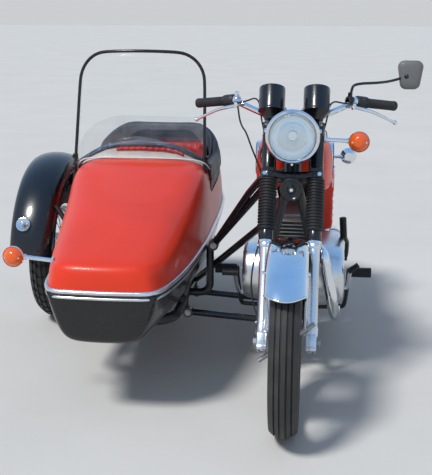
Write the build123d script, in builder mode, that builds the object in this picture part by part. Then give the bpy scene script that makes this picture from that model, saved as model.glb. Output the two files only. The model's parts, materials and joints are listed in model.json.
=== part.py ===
from build123d import *
import os
from math import radians, sin, cos, tan, pi

os.makedirs("parts", exist_ok=True)

# A motorcycle with a sidecar on its right. Millimetres, +Z up. The outfit faces -Y and the
# sidecar is on the -X side. Stations marked "bike" are counted from the ground below the
# front axle: x to the left of the machine, y backwards, z up.

# Driving sizes of the outfit
wheelbase = 1350
track = 1064
sidecar_lead = 237
bike_x = 355.1
front_axle_y = -740.5

# Wheels
front_r = 309
front_tyre_w = 93
rear_r = 292
rear_tyre_w = 100
tyre_h_front = 80
tyre_h_rear = 89
rim_half_w = 30
rim_depth = 16
flange_h = 9
flange_t = 4
drum_r = 84
hub_half_w = 40
axle_r = 7.5
bore_gap = 0.5
spoke_r = 1.7
spoke_count = 36
brake_gap = 6
plate_t = 9

# Front fork
rake = 26.7
trail = 95
rest_steer = 0
leg_spacing = 159
slider_r = 20
slider_top = 334
lug_reach = 29
brace_drop = 16
sleeve_l = 37
bellows_l = 178
bellows_r = 31
bellows_root_r = 26
bellows_ribs = 17
collar_r = 24
cover_r = 25
cover_l = 185
yoke_t = 22
yoke_r = 27
stem_r = 15
head_tube_r = 30
head_bore_r = 22
head_gap = 8

# Front mudguard
guard_gap = 32
guard_w = 126
guard_drop = 44
guard_t = 3
guard_roll_r = 4
guard_front_angle = 41
guard_rear_angle = 186
stay_r = 4

# Headlight, instruments and horn
lamp_drop = 80
lamp_ahead = 125
lamp_rim_r = 89.5
lamp_rim_l = 22
lamp_depth = 112
lamp_wall = 3
lens_bulge = 14
lens_t = 4
clock_lift = 118
clock_ahead = 49
clock_x = 75
clock_r = 45
clock_l = 66
clock_cup_l = 40
clock_foot_r = 24
horn_drop = 52
horn_ahead = 46
horn_r = 39
horn_l = 30

# Handlebar
bar_r = 11
bar_v = 18
bar_lift = 48
bar_flat = 62
bar_bend_u = 100
grip_r = 16.5
grip_l = 120
bar_rise = 35
bar_rise_u = 178
bar_rise_v = 14
bar_knee = 56
bar_knee_u = 203
bar_knee_v = 30
bar_end_u = 342
bar_end_v = 114
bar_end = 75

# Lamps on stalks
blinker_r = 36
blinker_l = 52
blinker_lens_l = 24
stalk_r = 7

# Frame, engine, tank and seat (bike stations)
backbone_r = 28
pivot_y = 985
pivot_z = 345
subframe_r = 13
subframe_x = 105
rail_top_z = 708
cradle_r = 15
cradle_x = 62
cradle_z = 172
stand_y = 945
stand_z = 140
stand_tube_r = 9
stand_leg_l = 178
engine_front = 500
engine_rear = 935
engine_low = 205
engine_high = 440
case_half_w = 98
left_cover_t = 98
right_cover_t = 88
cylinder_tilt = 18
cylinder_r = 48
fin_count = 13
fin_t = 4
fin_pitch = 15.5
fin_x = 190
fin_y = 172
tank_front = 402
tank_rear = 885
tank_half_w = 142
tank_low = 705
tank_high = 912
seat_overhang = 140
seat_low = 725
seat_high = 822
seat_half_w = 132
exhaust_r = 21
silencer_r = 42
silencer_x = 172
peg_x = 305
peg_r = 20

# Sidecar body: nose, cowl and tail, counted as bike stations
body_wall = 5
body_split = 452
car_offset = 448
cowl_y = 750
cowl_top = 773
cockpit_rear = 1390
collar_t = 38
collar_top = 846
collar_low = 612
collar_half = 272
collar_corner = 190
collar_arch_r = 180
collar_fall = 0.2
cowl_roll_r = 13
cowl_roll_rise = 49

# Sidecar mudguard
fender_r = 440
fender_w = 172
fender_drop = 60
fender_t = 3
fender_roll_r = 6
fender_front_angle = 11
fender_rear_angle = 172

# Windscreen
screen_lean = 15
screen_curve_r = 620
screen_t = 4
hoop_t = 13
hoop_corner_r = 120

bike = Plane(origin=(bike_x, front_axle_y, 0))


def on_bike(x, y, z):
    return bike.from_local_coords(Vector(x, y, z))


# The steering axis passes the ground ahead of the tyre's contact by the trail. The fork's own
# directions are u across, v backwards and w along the axis, from the axle's height.
fork_offset = front_r * sin(radians(rake)) - trail * cos(radians(rake))
straight_fork = Plane(
    origin=on_bike(0, fork_offset * cos(radians(rake)), front_r - fork_offset * sin(radians(rake))),
    x_dir=(1, 0, 0),
    z_dir=(0, sin(radians(rake)), cos(radians(rake))),
)
fork = Plane(
    origin=straight_fork.origin,
    x_dir=straight_fork.x_dir * cos(radians(rest_steer)) + straight_fork.y_dir * sin(radians(rest_steer)),
    z_dir=straight_fork.z_dir,
)
leg_u = leg_spacing / 2
leg_v = -fork_offset
bellows_low = slider_top + sleeve_l
bellows_high = bellows_low + bellows_l
top_yoke_w = bellows_high + cover_l
bar_w = top_yoke_w + bar_lift
lamp_w = top_yoke_w - lamp_drop
clock_w = top_yoke_w + clock_lift
horn_w = bellows_high - horn_drop
brace_w = slider_top - brace_drop
car_x = -track + car_offset


def on_fork(u, v, w):
    return fork.from_local_coords(Vector(u, v, w))


def fork_plane(u, v, w):
    return Plane(origin=on_fork(u, v, w), x_dir=fork.x_dir, z_dir=fork.z_dir)


def save(piece, name):
    piece.part.label = name
    export_step(piece.part, f"parts/{name}.step")


def rod(start, end, radius):
    start, end = Vector(start), Vector(end)
    with Locations(Plane(origin=start, z_dir=end - start)):
        Cylinder(radius, (end - start).length, align=(Align.CENTER, Align.CENTER, Align.MIN))


def tube(points, radius, bend):
    with BuildLine() as path:
        FilletPolyline(*points, radius=bend)
    with BuildSketch(Plane(origin=path.line @ 0, z_dir=path.line % 0)) as ring:
        Circle(radius)
    sweep(ring.sketch, path=path.line)


def held_cable(points, radius):
    # Straight runs joined by arcs as large as the shorter run beside each corner allows
    points = [Vector(point) for point in points]
    radii = []
    for before, corner, after in zip(points, points[1:], points[2:]):
        turn = radians((corner - before).get_angle(after - corner))
        radii.append(0.45 * min((corner - before).length, (after - corner).length) / tan(turn / 2))
    with BuildLine() as path:
        FilletPolyline(*points, radius=radii)
    with BuildSketch(Plane(origin=path.line @ 0, z_dir=path.line % 0)) as ring:
        Circle(radius)
    sweep(ring.sketch, path=path.line)
    length = sum(edge.length for edge in path.line.edges())
    print("cable radii", [round(value) for value in radii], "length", round(length))
    print("section times length", round(pi * radius ** 2 * length))


def side_of(plane):
    # The plane through an axis, with x out from it and y along it
    return Plane(origin=plane.origin, x_dir=plane.x_dir, z_dir=-plane.y_dir)


def turned(plane, outline):
    # A solid turned about the plane's z, from points (radius, height)
    with BuildSketch(side_of(plane)) as half:
        with BuildLine():
            Polyline(*outline, close=True)
        make_face()
    revolve(half.sketch, axis=Axis(plane.origin, plane.z_dir))


def block(low, high):
    # A box between two bike stations
    low, high = on_bike(*low), on_bike(*high)
    size = high - low
    with Locations((low + high) * 0.5):
        Box(size.X, size.Y, size.Z)


# Wheels: hub plane with z along the axle
front_hub = Plane(origin=on_fork(0, leg_v, 0), x_dir=fork.z_dir, z_dir=fork.x_dir)
rear_hub = Plane(origin=on_bike(0, wheelbase, rear_r), x_dir=(0, 0, 1), z_dir=(1, 0, 0))
car_hub = Plane(origin=on_bike(-track, wheelbase - sidecar_lead, rear_r), x_dir=(0, 0, 1), z_dir=(1, 0, 0))

# columns: name, hub plane, tyre radius, tyre width, tyre height
wheels = [
    ("front", front_hub, front_r, front_tyre_w, tyre_h_front),
    ("rear", rear_hub, rear_r, rear_tyre_w, tyre_h_rear),
    ("sidecar", car_hub, rear_r, rear_tyre_w, tyre_h_rear),
]

for name, hub, tyre_r, tyre_w, tyre_h in wheels:
    bead_r = tyre_r - tyre_h
    shoulder_r = tyre_r - 0.22 * tyre_h
    wide_r = bead_r + 0.52 * tyre_h
    half_w = tyre_w / 2
    with BuildPart() as tyre:
        with BuildSketch(side_of(hub)):
            with BuildLine():
                Line((bead_r, -rim_half_w), (bead_r + flange_h, -rim_half_w))
                ThreePointArc(
                    (bead_r + flange_h, -rim_half_w), (wide_r, -half_w), (shoulder_r, -0.78 * half_w)
                )
                ThreePointArc((shoulder_r, -0.78 * half_w), (tyre_r, 0), (shoulder_r, 0.78 * half_w))
                ThreePointArc(
                    (shoulder_r, 0.78 * half_w), (wide_r, half_w), (bead_r + flange_h, rim_half_w)
                )
                Line((bead_r + flange_h, rim_half_w), (bead_r, rim_half_w))
                Line((bead_r, rim_half_w), (bead_r, -rim_half_w))
            make_face()
        revolve(axis=Axis(hub.origin, hub.z_dir))
    save(tyre, f"{name}_tyre")

    rim_out = rim_half_w + flange_t
    rim_in_r = bead_r - rim_depth
    with BuildPart() as wheel:
        turned(hub, [
            (bead_r + flange_h, -rim_out), (bead_r + flange_h, -rim_half_w), (bead_r, -rim_half_w),
            (bead_r, rim_half_w), (bead_r + flange_h, rim_half_w), (bead_r + flange_h, rim_out),
            (bead_r - flange_t, rim_out), (rim_in_r, rim_out / 2), (rim_in_r, -rim_out / 2),
            (bead_r - flange_t, -rim_out),
        ])
        with Locations(hub):
            Cylinder(drum_r, 2 * hub_half_w)
        # Spokes leave both flanges of the drum and cross on the way to the rim
        spoke_planes = []
        for index in range(spoke_count):
            side = 1 if index % 2 else -1
            lean = 1 if index % 4 < 2 else -1
            angle = index * 360 / spoke_count
            inner = Vector((drum_r - 3) * cos(radians(angle)), (drum_r - 3) * sin(radians(angle)),
                           side * (hub_half_w - 5))
            turn = angle + lean * 14
            outer = Vector((rim_in_r + 3) * cos(radians(turn)), (rim_in_r + 3) * sin(radians(turn)),
                           side * 6)
            start, end = hub.from_local_coords(inner), hub.from_local_coords(outer)
            spoke_planes.append(Plane(origin=start, z_dir=end - start))
            spoke_l = (end - start).length
        with Locations(*spoke_planes):
            Cylinder(spoke_r, spoke_l, align=(Align.CENTER, Align.CENTER, Align.MIN))
        with Locations(hub):
            Cylinder(axle_r + bore_gap, 3 * hub_half_w, mode=Mode.SUBTRACT)
    save(wheel, f"{name}_wheel")

guard_half = guard_w / 2
# Fork sliders, with the axle, its lugs and the brake plate on the right leg
brake_u = hub_half_w + brake_gap
with BuildPart() as fork_sliders:
    for side in (-1, 1):
        with Locations(fork_plane(side * leg_u, leg_v, 0)):
            Cylinder(slider_r, slider_top, align=(Align.CENTER, Align.CENTER, Align.MIN))
            Box(2 * slider_r - 6, 2 * slider_r + 4, 2 * lug_reach)
        with Locations(fork_plane(side * leg_u, leg_v, brace_w)):
            Cylinder(slider_r + 4, 14)
        rod(on_fork(side * guard_half, leg_v, brace_w - 6), on_fork(side * leg_u, leg_v, brace_w - 6), 7)
    rod(on_fork(-leg_u - slider_r - 12, leg_v, 0), on_fork(leg_u + slider_r + 12, leg_v, 0), axle_r)
    rod(on_fork(-brake_u - plate_t, leg_v, 0), on_fork(-brake_u, leg_v, 0), drum_r)
save(fork_sliders, "fork_sliders")

# Ribbed bellows above a plain sleeve
rib_pitch = (bellows_high - bellows_low) / bellows_ribs
bellows_outline = [(0, slider_top), (collar_r, slider_top), (collar_r, bellows_low)]
for index in range(bellows_ribs):
    low = bellows_low + index * rib_pitch
    bellows_outline += [
        (bellows_root_r, low), (bellows_r, low + 0.3 * rib_pitch), (bellows_r, low + 0.6 * rib_pitch),
        (bellows_root_r, low + 0.9 * rib_pitch),
    ]
bellows_outline += [(bellows_root_r, bellows_high), (0, bellows_high)]
with BuildPart() as fork_bellows:
    for side in (-1, 1):
        turned(fork_plane(side * leg_u, leg_v, 0), bellows_outline)
save(fork_bellows, "fork_bellows")

# Black upper covers, both yokes, the steering stem and the headlight's ears
clock_arm_t = 8
with BuildPart() as fork_yokes:
    for side in (-1, 1):
        with Locations(fork_plane(side * leg_u, leg_v, bellows_high)):
            Cylinder(cover_r, top_yoke_w - bellows_high, align=(Align.CENTER, Align.CENTER, Align.MIN))
        with Locations(fork_plane(side * (lamp_rim_r - 5), leg_v - lamp_ahead / 2 + 8, lamp_w + 30)):
            Box(6, lamp_ahead - 10, 34)
        with Locations(fork_plane(side * clock_x, leg_v - clock_ahead / 2, top_yoke_w + yoke_t / 2)):
            Box(2 * clock_foot_r - 10, clock_ahead + 20, clock_arm_t)
        with Locations(fork_plane(side * 32, leg_v + bar_v, top_yoke_w + yoke_t / 2)):
            Box(24, 30, bar_lift - yoke_t / 2 + bar_r, align=(Align.CENTER, Align.CENTER, Align.MIN))
    for height in (bellows_high + yoke_t / 2, top_yoke_w):
        with BuildSketch(fork_plane(0, 0, height - yoke_t / 2)):
            with Locations((-leg_u, leg_v), (leg_u, leg_v), (0, 0)):
                Circle(yoke_r)
            make_hull()
        extrude(amount=yoke_t)
    rod(on_fork(0, 0, bellows_high), on_fork(0, 0, top_yoke_w), stem_r)
    # The bar lies in its clamps
    rod(on_fork(-bar_flat, leg_v + bar_v, bar_w), on_fork(bar_flat, leg_v + bar_v, bar_w), bar_r + 0.2)
    with Locations(Plane(origin=on_fork(0, leg_v + bar_v, bar_w), z_dir=fork.x_dir)):
        Cylinder(bar_r + 0.1, 3 * bar_flat, mode=Mode.SUBTRACT)
save(fork_yokes, "fork_yokes")

# Headlight: bowl, rim and lens, facing straight ahead of the fork
lamp_dir = (fork.y_dir * cos(radians(rake)) + fork.z_dir * sin(radians(rake))) * -1
lamp = Plane(origin=on_fork(0, leg_v - lamp_ahead, lamp_w), x_dir=fork.x_dir, z_dir=lamp_dir)
bowl_r = lamp_rim_r - 6
lens_r = lamp_rim_r - 9


def bowl_outline(radius, depth, front):
    return [
        (0, front), (radius, front), (radius, -lamp_rim_l), (0.94 * radius, -0.45 * depth),
        (0.77 * radius, -0.7 * depth), (0.5 * radius, -0.9 * depth), (0.22 * radius, -depth), (0, -depth),
    ]


with BuildPart() as headlight_bowl:
    turned(lamp, bowl_outline(bowl_r, lamp_depth, 0))
    turned(lamp, [(0, -lamp_rim_l), (lamp_rim_r, -lamp_rim_l + 4), (lamp_rim_r, 2), (lens_r + 3, 6), (0, 6)])
    with BuildSketch(side_of(lamp)):
        with BuildLine():
            Polyline(*[(r, h) for r, h in bowl_outline(bowl_r - lamp_wall, lamp_depth - lamp_wall, 0)],
                     close=True)
        make_face()
    revolve(axis=Axis(lamp.origin, lamp.z_dir), mode=Mode.SUBTRACT)
    with Locations(lamp):
        Cylinder(lens_r, 40, mode=Mode.SUBTRACT)
save(headlight_bowl, "headlight_bowl")

lens_curve = [
    (0, lens_bulge), (0.35, 0.88 * lens_bulge), (0.65, 0.6 * lens_bulge), (0.87, 0.27 * lens_bulge), (1, 0),
]
with BuildPart() as headlight_lens:
    front = [(lens_r * share, height) for share, height in lens_curve]
    turned(lamp, front + [(radius, height - lens_t) for radius, height in reversed(front)])
save(headlight_lens, "headlight_lens")

# Two round instruments in black cups
clock_low = clock_w - clock_l
with BuildPart() as instruments:
    for side in (-1, 1):
        clock = fork_plane(side * clock_x, leg_v - clock_ahead, 0)
        foot = top_yoke_w + yoke_t / 2 + clock_arm_t / 2
        turned(clock, [
            (0, foot), (clock_foot_r, foot), (0.75 * clock_r, clock_low - 0.55 * clock_cup_l),
            (clock_r - 4, clock_low - 4), (clock_r, clock_low), (clock_r, clock_w), (clock_r - 5, clock_w),
            (clock_r - 5, clock_w - 5), (0, clock_w - 5),
        ])
save(instruments, "instruments")

with BuildPart() as horn:
    horn_plane = Plane(origin=on_fork(0, leg_v - horn_ahead, horn_w), x_dir=fork.x_dir, z_dir=lamp_dir)
    turned(horn_plane, [
        (0, 0), (8, 0), (12, -4), (horn_r - 8, -2), (horn_r, -6), (horn_r, -14), (horn_r - 10, -horn_l),
        (0, -horn_l),
    ])
    rod(on_fork(0, leg_v - horn_ahead + 20, horn_w + 10), on_fork(0, leg_v + 4, bellows_high + 2), 8)
save(horn, "horn")

# Handlebar, from grip to grip
bar_path = [
    (-bar_end_u, leg_v + bar_end_v, bar_w + bar_end), (-bar_knee_u, leg_v + bar_knee_v, bar_w + bar_knee),
    (-bar_rise_u, leg_v + bar_rise_v, bar_w + bar_rise), (-bar_bend_u, leg_v + bar_v, bar_w),
    (bar_bend_u, leg_v + bar_v, bar_w), (bar_rise_u, leg_v + bar_rise_v, bar_w + bar_rise),
    (bar_knee_u, leg_v + bar_knee_v, bar_w + bar_knee), (bar_end_u, leg_v + bar_end_v, bar_w + bar_end),
]
with BuildPart() as handlebar:
    tube([on_fork(*point) for point in bar_path], bar_r, 22)
save(handlebar, "handlebar")

# Rubber grips with the throttle housing, the switch and both lever brackets
grip_dir = (on_fork(*bar_path[-1]) - on_fork(*bar_path[-2])).normalized()
grip_dirs = {1: grip_dir, -1: (on_fork(*bar_path[0]) - on_fork(*bar_path[1])).normalized()}
grip_ends = {1: on_fork(*bar_path[-1]), -1: on_fork(*bar_path[0])}


def along_grip(side, distance):
    return grip_ends[side] - grip_dirs[side] * distance


with BuildPart() as grips:
    for side in (-1, 1):
        rod(along_grip(side, grip_l), along_grip(side, -8), grip_r)
        rod(along_grip(side, grip_l + 36), along_grip(side, grip_l), grip_r + 5)
        with Locations(Plane(origin=along_grip(side, grip_l / 2), z_dir=grip_dirs[side])):
            Cylinder(bar_r, grip_l * 3, mode=Mode.SUBTRACT)
save(grips, "grips")

lever_drop = 14
lever_gap = 34
socket_r = 9
socket_h = 30
socket_hole_r = 5
socket_hole_l = 14
with BuildPart() as levers:
    for side in (-1, 1):
        bracket = along_grip(side, grip_l + 46)
        ahead = lamp_dir * lever_gap
        down = Vector(0, 0, -lever_drop)
        pivot = bracket + ahead * 0.8 + down
        knee = along_grip(side, grip_l - 30) + ahead * 1.5 + down * 1.6
        tip = along_grip(side, -8) + ahead * 0.9 + Vector(0, 0, -54)
        rod(bracket + grip_dirs[side] * 8, bracket - grip_dirs[side] * 8, grip_r + 1)
        rod(bracket, pivot, 8)
        tube([pivot - grip_dirs[side] * 10, knee, tip], 5, 60)
        with Locations(tip):
            Sphere(8)
        if side < 0:
            # The right bracket's threaded socket for a second mirror
            rod(bracket, bracket + Vector(0, 0, socket_h), socket_r)
            rod_top = Plane(origin=bracket + Vector(0, 0, socket_h))
            with Locations(rod_top):
                Cylinder(socket_hole_r, 2 * socket_hole_l, mode=Mode.SUBTRACT)
        with Locations(Plane(origin=bracket, z_dir=grip_dirs[side])):
            Cylinder(bar_r, 60, mode=Mode.SUBTRACT)
save(levers, "levers")

# Mirror on the left bracket: a thin stem and a rounded head that faces back
mirror_w = 88
mirror_h = 100
mirror_t = 22
mirror_reach = Vector(211, 118, 82.5)
mirror_foot = along_grip(1, grip_l + 62)
mirror_centre = mirror_foot + mirror_reach
with BuildPart() as mirror:
    with BuildSketch(Plane(origin=mirror_centre, x_dir=(1, 0, 0), z_dir=(0, -1, 0))) as mirror_face:
        Trapezoid(mirror_w, mirror_h, 84, rotation=180)
        fillet(mirror_face.vertices(), 22)
    extrude(amount=mirror_t / 2, both=True)
    tube([mirror_foot + Vector(0, 0, -bar_r), mirror_foot + Vector(6, 0, 48),
          mirror_centre + Vector(-34, 0, -16), mirror_centre + Vector(-8, 0, -4)], 5, 14)
    with Locations(Plane(origin=mirror_foot, z_dir=grip_dirs[1])):
        Cylinder(bar_r + 7, 18)
        Cylinder(bar_r, 60, mode=Mode.SUBTRACT)
save(mirror, "mirror")

# Front mudguard: a channel turned about the axle, its stays and the brace to both legs
guard_r = front_r + guard_gap


def guard_direction(angle):
    # Unit vector at an angle above straight ahead, seen from the left of the wheel
    turn = radians(angle)
    ahead, up = lamp_dir, fork.z_dir * cos(radians(rake)) - fork.y_dir * sin(radians(rake))
    return ahead * cos(turn) + up * sin(turn)


def channel(plane_x, out, origin, half_w, drop, radius, thickness, roll_r):
    # The cross-section of a mudguard with rolled edges: x across the wheel, y out from the axle
    with BuildSketch(Plane(origin=origin, x_dir=plane_x, z_dir=plane_x.cross(out))) as section:
        with BuildLine():
            Line((-half_w, radius - drop), (-half_w, radius - 0.55 * drop))
            ThreePointArc((-half_w, radius - 0.55 * drop), (0, radius), (half_w, radius - 0.55 * drop))
            Line((half_w, radius - 0.55 * drop), (half_w, radius - drop))
            Line((half_w, radius - drop), (half_w - thickness, radius - drop))
            Line((half_w - thickness, radius - drop), (half_w - thickness, radius - 0.55 * drop))
            ThreePointArc(
                (half_w - thickness, radius - 0.55 * drop), (0, radius - thickness),
                (-half_w + thickness, radius - 0.55 * drop),
            )
            Line((-half_w + thickness, radius - 0.55 * drop), (-half_w + thickness, radius - drop))
            Line((-half_w + thickness, radius - drop), (-half_w, radius - drop))
        make_face()
        with Locations((-half_w + roll_r, radius - drop), (half_w - roll_r, radius - drop)):
            Circle(roll_r)
    return section.sketch


with BuildPart() as front_mudguard:
    guard_section = channel(fork.x_dir, guard_direction(guard_front_angle), front_hub.origin,
                            guard_half, guard_drop, guard_r, guard_t, guard_roll_r)
    revolve(guard_section, axis=Axis(front_hub.origin, fork.x_dir * -1),
            revolution_arc=guard_rear_angle - guard_front_angle)
    for side in (-1, 1):
        for angle in (62, 158):
            edge = front_hub.origin + guard_direction(angle) * (guard_r - guard_drop + 10)
            rod(edge + fork.x_dir * side * (guard_half - guard_t + 1),
                on_fork(side * (leg_u - slider_r), leg_v, lug_reach - 6), stay_r)
save(front_mudguard, "front_mudguard")

# The left front indicator hangs on the headlight's ear
def blinker(lens_centre, facing, root):
    # The housing and its stalk; the lens is its own piece
    back = lens_centre - facing * (blinker_lens_l / 2)
    plane = Plane(origin=back, z_dir=facing)
    turned(plane, [
        (0, 0), (blinker_r, 0), (blinker_r, -6), (blinker_r - 5, -14),
        (blinker_r - 16, blinker_lens_l - blinker_l),
        (0, blinker_lens_l - blinker_l),
    ])
    rod(root, back - facing * 14, stalk_r)


def blinker_lens(lens_centre, facing):
    back = lens_centre - facing * (blinker_lens_l / 2)
    turned(Plane(origin=back, z_dir=facing), [
        (0, 0), (blinker_r - 2, 0), (blinker_r - 2, 10), (blinker_r - 9, 19),
        (blinker_r - 20, blinker_lens_l),
        (0, blinker_lens_l),
    ])


ear_root = on_fork(leg_u + cover_r - 2, leg_v, lamp_w + 36)
front_blinker = ear_root + Vector(119, -9, -6.5)
with BuildPart() as front_indicator:
    blinker(front_blinker, Vector(0, -1, 0), ear_root)
save(front_indicator, "front_indicator")
with BuildPart() as front_indicator_lens:
    blinker_lens(front_blinker, Vector(0, -1, 0))
save(front_indicator_lens, "front_indicator_lens")

# Front brake cable, from the lever's bracket to the brake plate, held by the right leg
cable_r = 3
cable_top = along_grip(-1, grip_l + 46) + lamp_dir * lever_gap * 0.8 + Vector(0, 0, -lever_drop)
cable_path = [
    cable_top + Vector(6, 2, -4), cable_top + Vector(10, -6, -38), cable_top + Vector(20, -8, -72),
    on_fork(-160, leg_v - 16, 706), on_fork(-143, leg_v + 2, 662), on_fork(-122, leg_v + 22, 618),
    on_fork(-103, leg_v + 38, 570), on_fork(-93, leg_v + 44, 510), on_fork(-91, leg_v + 45, 440),
    on_fork(-96, leg_v + 46, 375), on_fork(-108, leg_v + 46, 320), on_fork(-121, leg_v + 46, 262),
    on_fork(-126, leg_v + 50, 205), on_fork(-120, leg_v + 60, 150), on_fork(-106, leg_v + 68, 100),
    on_fork(-86, leg_v + 70, 62), on_fork(-70, leg_v + 66, 42), on_fork(-54, leg_v + 62, 32),
]
with BuildPart() as brake_cable:
    held_cable(cable_path, cable_r)
print("cable volume", round(brake_cable.part.volume))
save(brake_cable, "brake_cable")

# Main frame: head tube, backbone, pivot, seat tubes and the cradle that carries the sidecar
head_low = bellows_high + yoke_t + head_gap
head_high = top_yoke_w - yoke_t / 2 - head_gap
head_mid = straight_fork.from_local_coords(Vector(0, 0, (head_low + head_high) / 2))
head_back = straight_fork.from_local_coords(Vector(0, 26, head_low + 62))
seat_rear = wheelbase + seat_overhang
head_mouth = straight_fork.from_local_coords(Vector(0, 0, head_low + 60))
with BuildPart() as main_frame:
    tube([head_mouth, on_bike(0, 600, 768), on_bike(0, 925, 692), on_bike(0, pivot_y - 5, 560),
          on_bike(0, pivot_y, pivot_z)], backbone_r, 50)
    head_foot = straight_fork.from_local_coords(Vector(0, 0, head_low))
    with Locations(Plane(origin=head_foot, z_dir=straight_fork.z_dir)):
        Cylinder(head_tube_r, head_high - head_low, align=(Align.CENTER, Align.CENTER, Align.MIN))
    for side in (-1, 1):
        tube([on_bike(side * 20, 890, rail_top_z - 8), on_bike(side * subframe_x, 950, rail_top_z),
              on_bike(side * subframe_x, wheelbase + 150, rail_top_z)], subframe_r, 40)
        rod(on_bike(side * 20, pivot_y, pivot_z + 40),
            on_bike(side * subframe_x, wheelbase - 80, rail_top_z),
            subframe_r)
        tube([head_back, on_bike(side * cradle_x, 412, 560), on_bike(side * cradle_x, 452, cradle_z),
              on_bike(side * cradle_x, pivot_y - 30, cradle_z), on_bike(side * 40, pivot_y, pivot_z)],
             cradle_r, 60)
    rod(on_bike(-118, pivot_y, pivot_z), on_bike(118, pivot_y, pivot_z), 16)
    rod(on_bike(-subframe_x, wheelbase + 140, rail_top_z), on_bike(subframe_x, wheelbase + 140, rail_top_z),
        subframe_r)
    rod(on_bike(-cradle_x, 520, cradle_z), on_bike(cradle_x, 520, cradle_z), cradle_r)
    for side in (-1, 1):
        block((side * cradle_x - 6, stand_y - 14, stand_z - 15),
              (side * cradle_x + 6, stand_y + 14, cradle_z))
    with Locations(Plane(origin=head_mid, z_dir=straight_fork.z_dir)):
        Cylinder(head_bore_r, 400, mode=Mode.SUBTRACT)
    with Locations(Plane(origin=on_bike(0, stand_y, stand_z), z_dir=(1, 0, 0))):
        Cylinder(stand_tube_r + bore_gap, 200, mode=Mode.SUBTRACT)
save(main_frame, "main_frame")

# Engine: plain crankcase with the carburettor behind the cylinder
case_outline = [
    (engine_front, engine_low + 40), (engine_front + 50, engine_low), (engine_rear - 30, engine_low),
    (engine_rear, engine_low + 40), (engine_rear - 10, engine_high - 60), (engine_rear - 180, engine_high),
    (engine_front + 20, engine_high), (engine_front, engine_high - 30),
]


def side_plane(x):
    # The vertical fore-and-aft plane at a bike station x, with its x axis running backwards
    return Plane(origin=on_bike(x, 0, 0), x_dir=(0, 1, 0), z_dir=(1, 0, 0))


cylinder_foot = on_bike(0, 622, engine_high - 10)
cylinder_dir = Vector(0, -sin(radians(cylinder_tilt)), cos(radians(cylinder_tilt)))
cylinder = Plane(origin=cylinder_foot, x_dir=(1, 0, 0), z_dir=cylinder_dir)
port = cylinder_foot + cylinder_dir * 88
port_dir = Vector(0.62, -0.78, -0.05).normalized()
with BuildPart() as engine_block:
    with BuildSketch(side_plane(-case_half_w)):
        with BuildLine():
            Polyline(*case_outline, close=True)
        make_face()
    extrude(amount=2 * case_half_w)
    fillet(engine_block.edges().filter_by(Axis.X), 14)
    with Locations(on_bike(0, 742, 560)):
        Box(70, 60, 96)
        Cylinder(30, 120)
    rod(on_bike(0, 666, 556), on_bike(0, 850, 566), 22)
save(engine_block, "engine_block")

with BuildPart() as engine_cylinder:
    with Locations(cylinder):
        Cylinder(cylinder_r, fin_count * fin_pitch + 22, align=(Align.CENTER, Align.CENTER, Align.MIN))
    for index in range(fin_count):
        shrink = 14 if index < 3 else 0
        with BuildSketch(cylinder.offset(18 + index * fin_pitch)):
            RectangleRounded(fin_x - shrink, fin_y - shrink, 26)
        extrude(amount=fin_t)
    rod(port, port + port_dir * 122, exhaust_r + 6)
    with Locations(on_bike(0, 620, engine_high - 60)):
        Box(400, 400, 120, mode=Mode.SUBTRACT)
save(engine_cylinder, "engine_cylinder")

cover_y = 715
cover_z = 366
left_cover_l = 410
left_cover_h = 246
right_cover_l = 350
right_cover_h = 236
with BuildPart() as engine_covers:
    with BuildSketch(side_plane(case_half_w)):
        with Locations((cover_y, cover_z)):
            SlotOverall(left_cover_l, left_cover_h, rotation=3)
    extrude(amount=left_cover_t, taper=6)
    with BuildSketch(side_plane(-case_half_w)):
        with Locations((cover_y - 35, cover_z)):
            SlotOverall(right_cover_l, right_cover_h, rotation=-6)
    extrude(amount=-right_cover_t, taper=9)
    fillet(engine_covers.faces().sort_by(Axis.X)[-1].edges(), 22)
    fillet(engine_covers.faces().sort_by(Axis.X)[0].edges(), 22)
save(engine_covers, "engine_covers")

exhaust_low = 205
silencer_l = 760
mouth_r = 22
exhaust_path = [
    port + port_dir * 122, on_bike(118, 462, 478), on_bike(150, 462, 320),
    on_bike(silencer_x - 3, 580, exhaust_low),
    on_bike(silencer_x, 900, exhaust_low + 10), on_bike(silencer_x, 960, exhaust_low + 14),
]
with BuildPart() as exhaust:
    tube(exhaust_path, exhaust_r, 40)
    silencer = Plane(origin=on_bike(silencer_x, 940, exhaust_low + 13), z_dir=(0, 1, 0.09))
    turned(silencer, [
        (0, 0), (exhaust_r, 0), (silencer_r, 0.17 * silencer_l), (silencer_r, 0.86 * silencer_l),
        (mouth_r, silencer_l), (mouth_r - 4, silencer_l), (mouth_r - 4, silencer_l - 30),
        (0, silencer_l - 30),
    ])
save(exhaust, "exhaust")

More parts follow.
